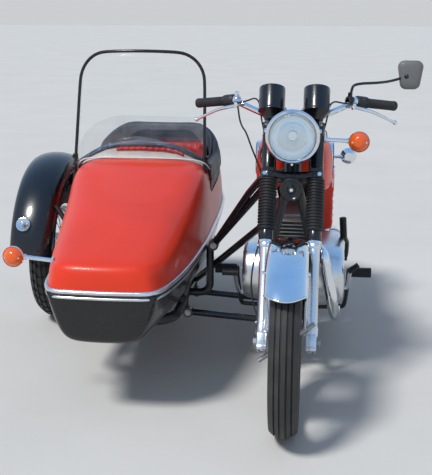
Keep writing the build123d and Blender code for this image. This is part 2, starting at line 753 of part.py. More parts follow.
# Fuel tank over the backbone
tunnel_half_w = backbone_r + 8
tunnel_top = 870
with BuildPart() as fuel_tank:
    with BuildSketch(side_plane(-tank_half_w)):
        with BuildLine():
            Polyline(
                (tank_front + 22, tank_low + 62), (tank_front + 95, tank_low), (tank_rear - 90, tank_low),
                (tank_rear, tank_low + 50), (tank_rear, tank_low + 96), (tank_rear - 100, tank_high - 14),
                (tank_rear - 280, tank_high), (tank_front + 70, tank_high - 8), (tank_front, tank_high - 62),
                close=True,
            )
        make_face()
    extrude(amount=2 * tank_half_w)
    with BuildSketch(Plane.XY.offset(tank_low - 1)):
        with Locations(on_bike(0, 0, 0)):
            Polygon((-112, tank_front - 5), (112, tank_front - 5), (tank_half_w, tank_front + 130),
                    (tank_half_w, tank_front + 300), (96, tank_rear + 5), (-96, tank_rear + 5),
                    (-tank_half_w, tank_front + 300), (-tank_half_w, tank_front + 130), align=None)
    extrude(amount=tank_high - tank_low + 2, mode=Mode.INTERSECT)
    fillet(fuel_tank.edges().filter_by(lambda e: e.center().Z > tank_low + 92), 34)
    with Locations(on_bike(0, (tank_front + tank_rear) / 2, tunnel_top)):
        Box(2 * tunnel_half_w, 2 * (tank_rear - tank_front), 300,
            align=(Align.CENTER, Align.CENTER, Align.MAX), mode=Mode.SUBTRACT)
    with Locations(on_bike(0, tank_front + 165, tank_high - 3)):
        Cylinder(34, 22, align=(Align.CENTER, Align.CENTER, Align.MIN))
save(fuel_tank, "fuel_tank")

with BuildPart() as seat:
    with BuildSketch(side_plane(-seat_half_w)):
        with BuildLine():
            Polyline(
                (tank_rear + 6, seat_low), (seat_rear, seat_low), (seat_rear + 14, seat_low + 40),
                (seat_rear - 24, seat_high + 8), (seat_rear - 300, seat_high),
                (tank_rear + 160, seat_high - 14),
                (tank_rear + 6, seat_high - 8), close=True,
            )
        make_face()
    extrude(amount=2 * seat_half_w)
    fillet(seat.edges().filter_by(lambda e: e.center().Z > seat_low + 60), 22)
save(seat, "seat")

panel_t = 52
panel_x = 100
with BuildPart() as side_panels:
    for side in (-1, 1):
        with BuildSketch(side_plane(side * panel_x)):
            with BuildLine():
                Polyline((900, 520), (940, 462), (1110, 448), (1168, 520), (1150, 690), (905, 690),
                         close=True)
            make_face()
        extrude(amount=side * panel_t, taper=8)
save(side_panels, "side_panels")

rear_guard_r = rear_r + 42
rear_guard_half = 66
rear_guard_drop = 46
rear_guard_start = 14
rear_guard_arc = 128
with BuildPart() as rear_mudguard:
    rear_out = Vector(0, cos(radians(rear_guard_start)), sin(radians(rear_guard_start)))
    rear_section = channel(Vector(1, 0, 0), rear_out, rear_hub.origin, rear_guard_half, rear_guard_drop,
                           rear_guard_r, guard_t, guard_roll_r)
    revolve(rear_section, axis=Axis(rear_hub.origin, (1, 0, 0)), revolution_arc=rear_guard_arc)
    block((-34, wheelbase + 126, 598), (34, wheelbase + 140, 697))
save(rear_mudguard, "rear_mudguard")

arm_half_w = 92
with BuildPart() as swing_arm:
    for side in (-1, 1):
        tube([on_bike(side * 84, pivot_y, pivot_z), on_bike(side * arm_half_w, 1080, 330),
              on_bike(side * arm_half_w, wheelbase + 40, rear_r)], 17, 60)
        with Locations(on_bike(side * arm_half_w, wheelbase - 20, rear_r + 26)):
            Box(12, 60, 50)
    rod(on_bike(-84, pivot_y + 44, pivot_z - 8), on_bike(84, pivot_y + 44, pivot_z - 8), 16)
    rod(on_bike(-arm_half_w - 22, wheelbase, rear_r), on_bike(arm_half_w + 22, wheelbase, rear_r), axle_r)
    rod(on_bike(hub_half_w + brake_gap, wheelbase, rear_r),
        on_bike(hub_half_w + brake_gap + plate_t, wheelbase, rear_r), drum_r)
save(swing_arm, "swing_arm")

shock_x = 128
coil_r = 33
coil_wire_r = 4
coil_turns = 7


def coil_spring(foot, along, length):
    # A coil round a damper, from foot along its axis
    plane = Plane(origin=foot, z_dir=along)
    wire_at = Plane(origin=plane.from_local_coords(Vector(coil_r, 0, 0)), z_dir=plane.y_dir)
    with BuildSketch(wire_at) as wire:
        Circle(coil_wire_r)
    with BuildLine(plane) as path:
        Helix(length / coil_turns, length, coil_r)
    sweep(wire.sketch, path=path.line, is_frenet=True)


with BuildPart() as shock_absorbers:
    for side in (-1, 1):
        low = on_bike(side * shock_x, wheelbase - 20, rear_r + 40)
        high = on_bike(side * shock_x, wheelbase - 88, rail_top_z - 18)
        along = (high - low).normalized()
        rod(low, low + along * 150, 20)
        rod(low + along * 104, high - along * 8, coil_r - coil_wire_r + 1)
        coil_spring(low + along * 116, along, (high - low).length - 140)
        rod(low - Vector(side * 34, 0, 0), low + Vector(side * 12, 0, 0), 11)
        rod(high - Vector(side * 20, 0, 0), high + Vector(side * 10, 0, 0), 11)
save(shock_absorbers, "shock_absorbers")

chain_x = -65
chain_half = 9
with BuildPart() as chain_case:
    with BuildSketch(side_plane(chain_x - chain_half)):
        with Locations((wheelbase, rear_r)):
            Circle(104)
            Circle(60, mode=Mode.SUBTRACT)
    extrude(amount=2 * chain_half)
    for drop, height in ((92, 44), (-92, -44)):
        rod(on_bike(chain_x, engine_rear + 4, 340 + height), on_bike(chain_x, wheelbase, rear_r + drop),
            chain_half + 1)
save(chain_case, "chain_case")

peg_y = 700
peg_z = 352
kick_x = 212
with BuildPart() as foot_controls:
    for side in (-1, 1):
        rod(on_bike(side * 212, peg_y, peg_z), on_bike(side * peg_x, peg_y, peg_z), peg_r)
        tube([on_bike(side * cradle_x, 800, cradle_z), on_bike(side * 206, 800, cradle_z + 6),
              on_bike(side * 218, 712, peg_z - 30), on_bike(side * 218, peg_y, peg_z + 8)], 9, 26)
        # The passenger's pegs are folded up
        rod(on_bike(side * arm_half_w, 1060, 335), on_bike(side * 152, 1080, 330), 9)
        rod(on_bike(side * 146, 1080, 322), on_bike(side * 146, 1080, 408), peg_r - 5)
    # Kickstarter, gear lever and brake pedal
    tube([on_bike(case_half_w + left_cover_t - 4, 850, 372), on_bike(kick_x, 850, 372),
          on_bike(kick_x, 800, 450), on_bike(kick_x - 16, 752, 488)], 9, 16)
    rod(on_bike(kick_x - 16, 752, 478), on_bike(kick_x - 22, 744, 560), 14)
    tube([on_bike(case_half_w + left_cover_t - 4, 620, 310), on_bike(214, 620, 310), on_bike(218, 545, 396)],
         7, 16)
    rod(on_bike(208, 541, 400), on_bike(256, 541, 400), 11)
    tube([on_bike(-case_half_w - 20, 760, 236), on_bike(-214, 760, 236), on_bike(-214, 640, 300),
          on_bike(-214, 540, 380)], 8, 16)
    rod(on_bike(-200, 536, 382), on_bike(-262, 536, 382), 12)
save(foot_controls, "foot_controls")

plate_w = 220
plate_h = 180
plate_t_steel = 3
plate_hole = 3.5
plate_holes_x = 150
carrier_y = wheelbase + 356
number = Plane(origin=on_bike(0, carrier_y + 0.3, 470), x_dir=(1, 0, 0), z_dir=(0, 1, 0))
with BuildPart() as number_plate:
    with BuildSketch(number):
        RectangleRounded(plate_w, plate_h, 12)
        with Locations((-plate_holes_x / 2, -60), (plate_holes_x / 2, -60)):
            Circle(plate_hole, mode=Mode.SUBTRACT)
    extrude(amount=plate_t_steel)
save(number_plate, "number_plate")

# Centre stand, folded up behind the cradle
stand_pivot = on_bike(0, stand_y, stand_z)
stand_half = 104
with BuildPart() as centre_stand:
    rod(stand_pivot - Vector(86, 0, 0), stand_pivot + Vector(86, 0, 0), stand_tube_r)
    for side in (-1, 1):
        foot = stand_pivot + Vector(side * stand_half, stand_leg_l - 8, 26)
        tube([stand_pivot + Vector(side * 82, 0, 0), stand_pivot + Vector(side * 86, 60, 2), foot], 11, 40)
        with Locations(foot):
            Box(34, 14, 40)
    rod(stand_pivot + Vector(-88, 70, 2), stand_pivot + Vector(88, 70, 2), 8)
save(centre_stand, "centre_stand")

# Sidecar body. Columns: bike y, middle from the cockpit's, half width at the split, top z, half
# width at the shoulder, shoulder radius, half width at the floor, floor z
body_stations = [
    (-34, 50, 186, 528, 166, 22, 128, 338),
    (20, 44, 222, 556, 192, 40, 158, 306),
    (380, 20, 250, 668, 222, 62, 196, 302),
    (cowl_y, 1, 276, cowl_top, 264, 52, 224, 302),
    (1180, -1, 275, 730, 254, 70, 232, 304),
    (1500, 4, 258, 690, 232, 70, 214, 316),
    (1790, 16, 196, 606, 176, 50, 150, 372),
]


def station_plane(y):
    return Plane(origin=on_bike(0, y, 0), x_dir=(1, 0, 0), z_dir=(0, -1, 0))


def upper_section(row, inset):
    y, offset, half, top, shoulder, radius, floor_half, floor_z = row
    mid = car_x + offset
    crown = 14
    side, up = half - inset, top - inset
    low = body_split - (inset and 20)
    with BuildSketch(station_plane(y)) as section:
        with BuildLine():
            Line((mid - side, low), (mid + side, low))
            Line((mid + side, low), (mid + shoulder - inset, up - crown))
            ThreePointArc((mid + shoulder - inset, up - crown), (mid, up),
                          (mid - shoulder + inset, up - crown))
            Line((mid - shoulder + inset, up - crown), (mid - side, low))
        make_face()
        fillet(section.vertices().group_by(Axis.Y)[-1], radius - inset)
    return section.sketch


def lower_section(row, inset):
    y, offset, half, top, shoulder, radius, floor_half, floor_z = row
    mid = car_x + offset
    with BuildSketch(station_plane(y)) as section:
        with BuildLine():
            Polyline((mid - half + inset, body_split + inset), (mid - floor_half + inset, floor_z + inset),
                     (mid + floor_half - inset, floor_z + inset), (mid + half - inset, body_split + inset),
                     close=True)
        make_face()
        fillet(section.vertices().group_by(Axis.Y)[0], 36 - inset)
    return section.sketch


cockpit_front = cowl_y + 58
last = len(body_stations) - 1
inner_stations = [
    (row[0] + (body_wall if index == 0 else 0) - (body_wall if index == last else 0), *row[1:])
    for index, row in enumerate(body_stations)
]

# Cockpit in plan: the padded collar stands on the body's cut edge around the seat
collar_front = 872
collar_rear = cockpit_rear + collar_t


def cockpit_plan(height, half, front, rear, rear_corner, front_corner=0):
    with BuildSketch(Plane.XY.offset(height)) as plan:
        with Locations(on_bike(car_x, (front + rear) / 2, 0)):
            Rectangle(2 * half, rear - front)
        fillet(plan.vertices().group_by(Axis.Y)[-1], rear_corner)
        if front_corner:
            fillet(plan.vertices().group_by(Axis.Y)[0], front_corner)
    return plan.sketch


with BuildPart() as upper_body:
    loft([upper_section(row, 0) for row in body_stations], ruled=True)
    loft([upper_section(row, body_wall) for row in inner_stations], ruled=True, mode=Mode.SUBTRACT)
    extrude(cockpit_plan(body_split - 30, collar_half - collar_t, cockpit_front, cockpit_rear,
                         collar_corner - collar_t, 90),
            amount=500, mode=Mode.SUBTRACT)
    extrude(cockpit_plan(collar_low, collar_half + 8, collar_front, collar_rear, collar_corner),
            amount=400, mode=Mode.SUBTRACT)
save(upper_body, "upper_body")

seat_base_top = 396
with BuildPart() as lower_tub:
    loft([lower_section(row, 0) for row in body_stations], ruled=True)
    loft([lower_section(row, body_wall) for row in inner_stations], ruled=True, mode=Mode.SUBTRACT)
    block((car_x - 190, 930, 306), (car_x + 190, 1380, seat_base_top))
save(lower_tub, "lower_tub")

with BuildPart() as cockpit_collar:
    extrude(cockpit_plan(collar_low, collar_half, collar_front - 200, collar_rear, collar_corner),
            amount=300)
    extrude(cockpit_plan(collar_low, collar_half - collar_t, collar_front - 400, cockpit_rear,
                         collar_corner - collar_t),
            amount=300, mode=Mode.SUBTRACT)
    with BuildSketch(station_plane(collar_rear)):
        with Locations((car_x, collar_top - 300)):
            RectangleRounded(2 * collar_half, 600, collar_arch_r)
    extrude(amount=collar_rear - collar_front, mode=Mode.INTERSECT)
    # The top edge falls towards the cowl
    with BuildSketch(side_plane(car_x - 400)):
        with BuildLine():
            Polyline((collar_rear - 30, collar_top), (collar_front - 10, collar_top - collar_fall * 530),
                     (collar_front - 10, collar_top + 60), (collar_rear - 30, collar_top + 60), close=True)
        make_face()
    extrude(amount=800, mode=Mode.SUBTRACT)
save(cockpit_collar, "cockpit_collar")

# A padded roll arches over an upright apron along the cockpit's front edge
roll_y = cockpit_front + 4
roll_end = collar_half - 14
apron_half = 0.75 * roll_end
apron_bow = 20
apron_t = 8
apron_low = cowl_top - 40
# columns: distance from the middle, height over the cowl, distance behind the roll's middle
roll_line = [
    (roll_end, -30, 52), (0.9 * roll_end, -14, 38), (apron_half, 0.2 * cowl_roll_rise, 22),
    (0.56 * roll_end, 0.72 * cowl_roll_rise, 12), (0.34 * roll_end, 0.93 * cowl_roll_rise, 5),
    (0, cowl_roll_rise, 0),
]
roll_points = [(car_x + x, roll_y + back, cowl_top + rise) for x, rise, back in roll_line]
roll_points += [(car_x - x, roll_y + back, cowl_top + rise) for x, rise, back in reversed(roll_line[:-1])]
apron_top = [(x, z) for x, y, z in roll_points[2:-2]]
with BuildPart() as cockpit_roll:
    with BuildSketch(bike.offset(apron_low)):
        with BuildLine():
            for back in (0, apron_t):
                front_y = cockpit_front - apron_t + back
                ThreePointArc((car_x - apron_half, front_y + apron_bow), (car_x, front_y),
                              (car_x + apron_half, front_y + apron_bow))
            for x in (car_x - apron_half, car_x + apron_half):
                Line((x, cockpit_front - apron_t + apron_bow), (x, cockpit_front + apron_bow))
        make_face()
    extrude(amount=cowl_top + cowl_roll_rise - apron_low)
    with BuildSketch(station_plane(roll_y + 60)):
        with BuildLine():
            Spline(*apron_top)
            Polyline(apron_top[-1], (apron_top[-1][0], apron_low), (apron_top[0][0], apron_low),
                     apron_top[0])
        make_face()
    extrude(amount=120, mode=Mode.INTERSECT)
    with BuildLine() as roll_path:
        Spline(*[on_bike(*point) for point in roll_points])
    with BuildSketch(Plane(origin=roll_path.line @ 0, z_dir=roll_path.line % 0)) as ring:
        Circle(cowl_roll_r)
    sweep(ring.sketch, path=roll_path.line)
    loft([upper_section(row, 0) for row in body_stations[2:5]], ruled=True, mode=Mode.SUBTRACT)
save(cockpit_roll, "cockpit_roll")

seat_half = 218
with BuildPart() as sidecar_cushion:
    block((car_x - seat_half + 10, 915, seat_base_top + 2), (car_x + seat_half - 10, 1292, 505))
    fillet(sidecar_cushion.edges(), 24)
save(sidecar_cushion, "sidecar_cushion")

with BuildPart() as sidecar_backrest:
    with BuildSketch(side_plane(car_x - seat_half)):
        with BuildLine():
            Polyline((1298, seat_base_top + 4), (cockpit_rear - 6, seat_base_top + 4),
                     (cockpit_rear - 6, 770),
                     (1318, 770), (1262, 516), (1298, 508), close=True)
        make_face()
    extrude(amount=2 * seat_half)
    extrude(cockpit_plan(seat_base_top, seat_half, 1100, cockpit_rear - 6, collar_corner - collar_t - 6),
            amount=500, mode=Mode.INTERSECT)
    fillet(sidecar_backrest.faces().sort_by(Axis.Z)[-1].edges(), 20)
save(sidecar_backrest, "sidecar_backrest")

# Windscreen: a bowed sheet inside a hoop, both cut from rings about one upright axis
screen = Plane(
    origin=on_bike(car_x - 12, cowl_y + 10, 722),
    x_dir=(1, 0, 0),
    z_dir=(0, sin(radians(screen_lean)), cos(radians(screen_lean))),
)
screen_front = Plane(origin=screen.origin - screen.y_dir * 60, x_dir=(1, 0, 0), z_dir=-screen.y_dir)
foot_half = 281
shoulder_half = 269
screen_top = 486


def screen_ring(thickness):
    with BuildSketch(screen) as ring:
        with Locations((0, screen_curve_r)):
            Circle(screen_curve_r + thickness / 2)
            Circle(screen_curve_r - thickness / 2, mode=Mode.SUBTRACT)
    return ring.sketch


def screen_outline(inset, low):
    with BuildSketch(screen_front) as outline:
        Polygon((-foot_half + inset, low), (foot_half - inset, low),
                (shoulder_half - inset, screen_top - inset),
                (-shoulder_half + inset, screen_top - inset), align=None)
        fillet(outline.vertices().group_by(Axis.Y)[-1], hoop_corner_r - inset)
    return outline.sketch


with BuildPart() as windscreen_hoop:
    extrude(screen_ring(hoop_t), amount=screen_top + 10)
    extrude(screen_outline(0, 0), amount=-260, mode=Mode.INTERSECT)
    extrude(screen_outline(hoop_t, -20), amount=-260, mode=Mode.SUBTRACT)
    sag = screen_curve_r - (screen_curve_r ** 2 - (foot_half - 6) ** 2) ** 0.5
    for side in (-1, 1):
        foot = screen.from_local_coords(Vector(side * (foot_half - 7), sag, 14))
        rod(foot, foot + Vector(side * -8, -10, -50), 9)
save(windscreen_hoop, "windscreen_hoop")

sheet_arch = cowl_roll_rise + 68
with BuildPart() as windscreen_sheet:
    extrude(screen_ring(screen_t), amount=screen_top + 10)
    extrude(screen_outline(hoop_t + 0.5, 4), amount=-260, mode=Mode.INTERSECT)
    with BuildSketch(screen_front):
        with BuildLine():
            ThreePointArc((-foot_half, 4), (0, sheet_arch), (foot_half, 4))
            Polyline((foot_half, 4), (foot_half, -20), (-foot_half, -20), (-foot_half, 4))
        make_face()
    extrude(amount=-260, mode=Mode.SUBTRACT)
save(windscreen_sheet, "windscreen_sheet")

# Sidecar wheel's mudguard
car_wheel_y = wheelbase - sidecar_lead
with BuildPart() as sidecar_mudguard:
    front_turn = radians(fender_front_angle)
    fender_section = channel(Vector(1, 0, 0), Vector(0, -cos(front_turn), sin(front_turn)), car_hub.origin,
                             fender_w / 2, fender_drop, fender_r, fender_t, fender_roll_r)
    revolve(fender_section, axis=Axis(car_hub.origin, (-1, 0, 0)),
            revolution_arc=fender_rear_angle - fender_front_angle)
save(sidecar_mudguard, "sidecar_mudguard")


def on_fender(angle, radius, x):
    turn = radians(angle)
    return on_bike(x, car_wheel_y - radius * cos(turn), rear_r + radius * sin(turn))


# Sidecar chassis: two rails joined by cross tubes, with the tower for wheel and mudguard
rail_r = 19
rail_z = 262
rail_right = car_x + 200
rail_left = car_x - 200
tower_x = -track + 138
tower_y = car_wheel_y + 92
tower_z = 600
lug_z = 188
lower_lugs = (610, 880)
upper_lug = (rail_right + 94, 660, 452)
with BuildPart() as sidecar_chassis:
    tube([on_bike(rail_left, 1560, rail_z), on_bike(rail_left, 300, rail_z),
          on_bike(rail_right, 300, rail_z),
          on_bike(rail_right, 1560, rail_z)], rail_r, 90)
    for station in (700, 1150, 1540):
        rod(on_bike(rail_left, station, rail_z), on_bike(rail_right, station, rail_z), rail_r - 3)
    for station in (480, 1400):
        for x in (rail_left, rail_right):
            rod(on_bike(x, station, rail_z), on_bike(x, station, 303), 16)
    for station in lower_lugs:
        rod(on_bike(rail_right, station, lug_z), on_bike(rail_right, station, rail_z), 15)
    tube([on_bike(rail_right, 660, rail_z), on_bike(upper_lug[0], 660, rail_z), on_bike(*upper_lug)], 15, 40)
    tube([on_bike(rail_left, tower_y, rail_z), on_bike(tower_x, tower_y, rail_z),
          on_bike(tower_x, tower_y, tower_z)], 16, 34)
    rod(on_bike(tower_x, tower_y, tower_z - 12), on_fender(98, fender_r - 34, -track + fender_w / 2), 10)
    rod(on_bike(rail_left, 800, rail_z), on_bike(tower_x - 20, 800, rail_z), 16)
    tube([on_bike(tower_x + 6, 800, rail_z), on_bike(tower_x + 6, 800, 480),
          on_fender(42, fender_r - 36, -track + fender_w / 2)], 10, 30)
save(sidecar_chassis, "sidecar_chassis")

arm_x = -track + 82
with BuildPart() as sidecar_suspension:
    tube([on_bike(tower_x - 24, 800, rail_z), on_bike(arm_x, 806, rail_z),
          on_bike(arm_x, car_wheel_y, rear_r)], 17, 24)
    rod(on_bike(arm_x, car_wheel_y - 30, rear_r - 2), on_bike(arm_x, car_wheel_y + 24, rear_r), 24)
    rod(on_bike(arm_x, car_wheel_y, rear_r), on_bike(-track - hub_half_w - 22, car_wheel_y, rear_r), axle_r)
    rod(on_bike(-track + hub_half_w + brake_gap, car_wheel_y, rear_r),
        on_bike(-track + hub_half_w + brake_gap + plate_t, car_wheel_y, rear_r), drum_r)
    low = on_bike(arm_x + 20, car_wheel_y + 8, rear_r + 10)
    high = on_bike(tower_x - 26, tower_y - 8, tower_z - 24)
    along = (high - low).normalized()
    rod(low, low + along * 130, 17)
    rod(low + along * 96, high - along * 6, 25)
    rod(high - Vector(8, 0, 0), high + Vector(26, 0, 0), 10)
save(sidecar_suspension, "sidecar_suspension")

# Four struts tie the sidecar to the motorcycle's head, cradle and pivot
strut_r = 13
with BuildPart() as sidecar_struts:
    strut_end = on_bike(upper_lug[0] + 16, upper_lug[1] - 16, upper_lug[2] + 10)
    tube([on_bike(-26, 352, 806), on_bike(-106, 398, 778), on_bike(-158, 462, 706),
          strut_end], strut_r, 30)
    tube([on_bike(-26, 356, 792), on_bike(-84, 408, 758), strut_end], strut_r, 30)
    rod(on_bike(-52, 398, 646), on_bike(rail_right + 22, 790, rail_z + 14), strut_r)
    for station in lower_lugs:
        rod(on_bike(-cradle_x, station, cradle_z), on_bike(rail_right + 12, station, lug_z + 8), strut_r)
save(sidecar_struts, "sidecar_struts")

# Lamps on the root: position lamp, indicators and tail lamps
position_lamp_r = 30
lamp_x = -track - 24
lamp_spot = on_fender(28, fender_r - 4, lamp_x)
lamp_out = (on_fender(28, fender_r + 40, lamp_x) - lamp_spot).normalized()
with BuildPart() as position_lamp:
    turned(Plane(origin=lamp_spot, z_dir=lamp_out), [
        (0, 0), (position_lamp_r, 0), (position_lamp_r, 12), (position_lamp_r - 3, 16), (22, 27), (10, 33),
        (0, 34),
    ])
save(position_lamp, "position_lamp")

# columns: lens centre, facing, root of the stalk
root_blinkers = [
    (on_bike(car_x - 294, 35, 553), Vector(0, -1, 0), on_bike(car_x - 160, 62, 540)),
    (on_bike(222, wheelbase - 35, rail_top_z + 8), Vector(0, 1, 0),
     on_bike(subframe_x, wheelbase - 50, rail_top_z)),
    (on_bike(car_x - 289, 1622, 560), Vector(0, 1, 0), on_bike(car_x - 196, 1590, 556)),
]
tail_lamp_r = 38
tail_lamp = Plane(origin=on_bike(0, carrier_y + 6, 600), z_dir=(0, 1, 0))
car_tail = Plane(origin=on_fender(150, fender_r - 4, -track - 6), z_dir=(0, 1, 0))
bracket_t = 6
with BuildPart() as lamp_bases:
    for centre, facing, root in root_blinkers:
        blinker(centre, facing, root)
    with Locations(tail_lamp):
        Cylinder(tail_lamp_r, 50, align=(Align.CENTER, Align.CENTER, Align.MAX))
    block((-40, carrier_y - bracket_t, 400), (40, carrier_y, 620))
    block((-22, carrier_y - 66, 430), (22, carrier_y - 1, 462))
    with Locations(car_tail):
        Cylinder(30, 60, align=(Align.CENTER, Align.CENTER, Align.MAX))
save(lamp_bases, "lamp_bases")
with BuildPart() as indicator_lenses:
    for centre, facing, root in root_blinkers:
        blinker_lens(centre, facing)
save(indicator_lenses, "indicator_lenses")
with BuildPart() as tail_lenses:
    turned(tail_lamp, [(0, 0), (tail_lamp_r - 1, 0), (tail_lamp_r - 1, 12), (24, 24), (0, 27)])
    turned(car_tail, [(0, 0), (29, 0), (29, 8), (18, 18), (0, 20)])
save(tail_lenses, "tail_lenses")
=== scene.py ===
import bpy
import bmesh
import json
import math
from mathutils import Matrix, Vector


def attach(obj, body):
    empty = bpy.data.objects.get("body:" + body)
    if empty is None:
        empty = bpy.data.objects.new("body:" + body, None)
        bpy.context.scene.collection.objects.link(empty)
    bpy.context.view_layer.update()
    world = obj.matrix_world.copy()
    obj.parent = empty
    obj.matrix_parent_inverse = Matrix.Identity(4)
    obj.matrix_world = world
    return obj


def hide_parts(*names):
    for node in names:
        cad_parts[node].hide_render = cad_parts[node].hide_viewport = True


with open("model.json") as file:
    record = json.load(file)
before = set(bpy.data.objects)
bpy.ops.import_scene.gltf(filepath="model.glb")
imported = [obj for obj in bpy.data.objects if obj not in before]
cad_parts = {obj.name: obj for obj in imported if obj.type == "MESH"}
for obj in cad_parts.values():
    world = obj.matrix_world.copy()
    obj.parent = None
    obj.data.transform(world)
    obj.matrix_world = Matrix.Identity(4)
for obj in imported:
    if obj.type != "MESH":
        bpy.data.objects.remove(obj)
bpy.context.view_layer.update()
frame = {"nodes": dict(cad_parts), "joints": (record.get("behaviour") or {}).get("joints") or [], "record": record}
print("frame loaded:", len(frame["nodes"]), "nodes")

# Places are worked out from the joints. onBike counts from the ground below the front axle,
# with x to the machine's left and y backwards; onFork counts along the steered fork.
joints = {joint["name"]: joint for joint in frame["joints"]}
rearHub = Vector(joints["rear_wheel_spin"]["pos_m"])
carHub = Vector(joints["sidecar_wheel_spin"]["pos_m"])
frontHub = Vector(joints["front_wheel_spin"]["pos_m"])
wheelbase = 1.35
bikeX, frontY = rearHub.x, rearHub.y - wheelbase
forkFoot = Vector(joints["steering"]["pos_m"])
forkUp = Vector(joints["steering"]["axis"])
forkSide = Vector(joints["front_wheel_spin"]["axis"])
forkBack = forkUp.cross(forkSide)
legBack = (frontHub - forkFoot).dot(forkBack)
legSide = 0.0795
rake = math.acos(forkUp.z)
# Straight ahead and straight up as the fork sees them
ahead = -(forkBack * math.cos(rake) + forkUp * math.sin(rake))
upright = ahead.cross(forkSide)


def onBike(x, y, z):
    return Vector((bikeX + x, frontY + y, z))


def onFork(u, v, w):
    return forkFoot + forkSide * u + forkBack * v + forkUp * w


def onLegs(u, v, w):
    # As onFork, with the depth counted from the line through both legs
    return onFork(u, legBack + v, w)


def bikeLine(*points, side=1):
    return [onBike(side * x, y, z) for x, y, z in points]


def legLine(*points):
    return [onLegs(u, v, w) for u, v, w in points]


def bothSides(half, middle=0.0, side=1):
    # Points (x, y, z) of one half and, mirrored at the middle, of the other; the last one is shared
    return [onBike(middle + side * x, y, z) for x, y, z in half] + [
        onBike(middle - side * x, y, z) for x, y, z in reversed(half[:-1])]


def polar(radius, turn, height=0.0):
    return Vector((radius * math.cos(turn), radius * math.sin(turn), height))


def atBike(x, y, z):
    return Matrix.Translation(onBike(x, y, z))


def lifted(height):
    return Vector((0, 0, height))


def basis(origin, zAxis, xAxis=(1, 0, 0)):
    # A matrix that puts a shape's own z along zAxis at origin
    zAxis = Vector(zAxis).normalized()
    xAxis = Vector(xAxis)
    xAxis = (xAxis - zAxis * xAxis.dot(zAxis)).normalized()
    yAxis = zAxis.cross(xAxis)
    turn = Matrix((xAxis, yAxis, zAxis)).transposed().to_quaternion()
    return Matrix.LocRotScale(Vector(origin), turn, None)


# Camera at the photograph's place
cameraSet = {"place": (0.075, -2.871, 1.370), "yaw": -6.051, "pitch": 13.888, "roll": 0.240,
             "focal": 940.35, "frame": (432, 475), "sensor": 36.0, "middle": (216.0, 235.88)}
cameraData = bpy.data.cameras.new("camera")
camera = bpy.data.objects.new("camera", cameraData)
bpy.context.scene.collection.objects.link(camera)
yaw, pitch = math.radians(cameraSet["yaw"]), math.radians(cameraSet["pitch"])
look = Vector((math.sin(yaw) * math.cos(pitch), math.cos(yaw) * math.cos(pitch), -math.sin(pitch)))
right = Vector((math.cos(yaw), -math.sin(yaw), 0))
lift = right.cross(look)
roll = math.radians(cameraSet["roll"])
rolledRight = right * math.cos(roll) + lift * math.sin(roll)
rolledUp = lift * math.cos(roll) - right * math.sin(roll)
camera.matrix_world = atBike(*cameraSet["place"]) @ Matrix(
    (rolledRight, rolledUp, -look)).transposed().to_4x4()
longSide = max(cameraSet["frame"])
cameraData.sensor_fit = "AUTO"
cameraData.sensor_width = cameraSet["sensor"]
cameraData.lens = cameraSet["focal"] / longSide * cameraSet["sensor"]
cameraData.shift_x = (cameraSet["frame"][0] / 2 - cameraSet["middle"][0]) / longSide
cameraData.shift_y = (cameraSet["middle"][1] - cameraSet["frame"][1] / 2) / longSide
cameraData.clip_end = 60
bpy.context.scene.camera = camera


# Shader groups that several finishes share
def newGroup(name, inputs, outputs):
    group = bpy.data.node_groups.new(name, "ShaderNodeTree")
    for label, kind, value in inputs:
        socket = group.interface.new_socket(label, in_out="INPUT", socket_type=kind)
        if value is not None:
            socket.default_value = value
    for label, kind in outputs:
        group.interface.new_socket(label, in_out="OUTPUT", socket_type=kind)
    return group, group.nodes.new("NodeGroupInput"), group.nodes.new("NodeGroupOutput")


def setInputs(node, values):
    for label, value in values.items():
        node.inputs[label].default_value = value


def addNode(tree, kind, **values):
    node = tree.nodes.new(kind)
    setInputs(node, values)
    return node


def feed(tree, node, values):
    # Sockets are linked to the numbered inputs, plain values are set
    for index, value in values:
        if isinstance(value, bpy.types.NodeSocket):
            tree.links.new(value, node.inputs[index])
        else:
            node.inputs[index].default_value = value


def mixColour(tree, factor, first, second):
    # Sockets or plain values go in, the mixed colour's socket comes out
    mix = tree.nodes.new("ShaderNodeMix")
    mix.data_type = "RGBA"
    feed(tree, mix, ((0, factor), (6, first), (7, second)))
    return mix.outputs[2]


def mathNode(tree, operation, first, second=0.0, clamp=False):
    node = tree.nodes.new("ShaderNodeMath")
    node.operation = operation
    node.use_clamp = clamp
    feed(tree, node, ((0, first), (1, second)))
    return node.outputs[0]


def mapRange(tree, value, fromLow, fromHigh, toLow=0.0, toHigh=1.0):
    node = tree.nodes.new("ShaderNodeMapRange")
    feed(tree, node, enumerate((value, fromLow, fromHigh, toLow, toHigh)))
    return node.outputs[0]


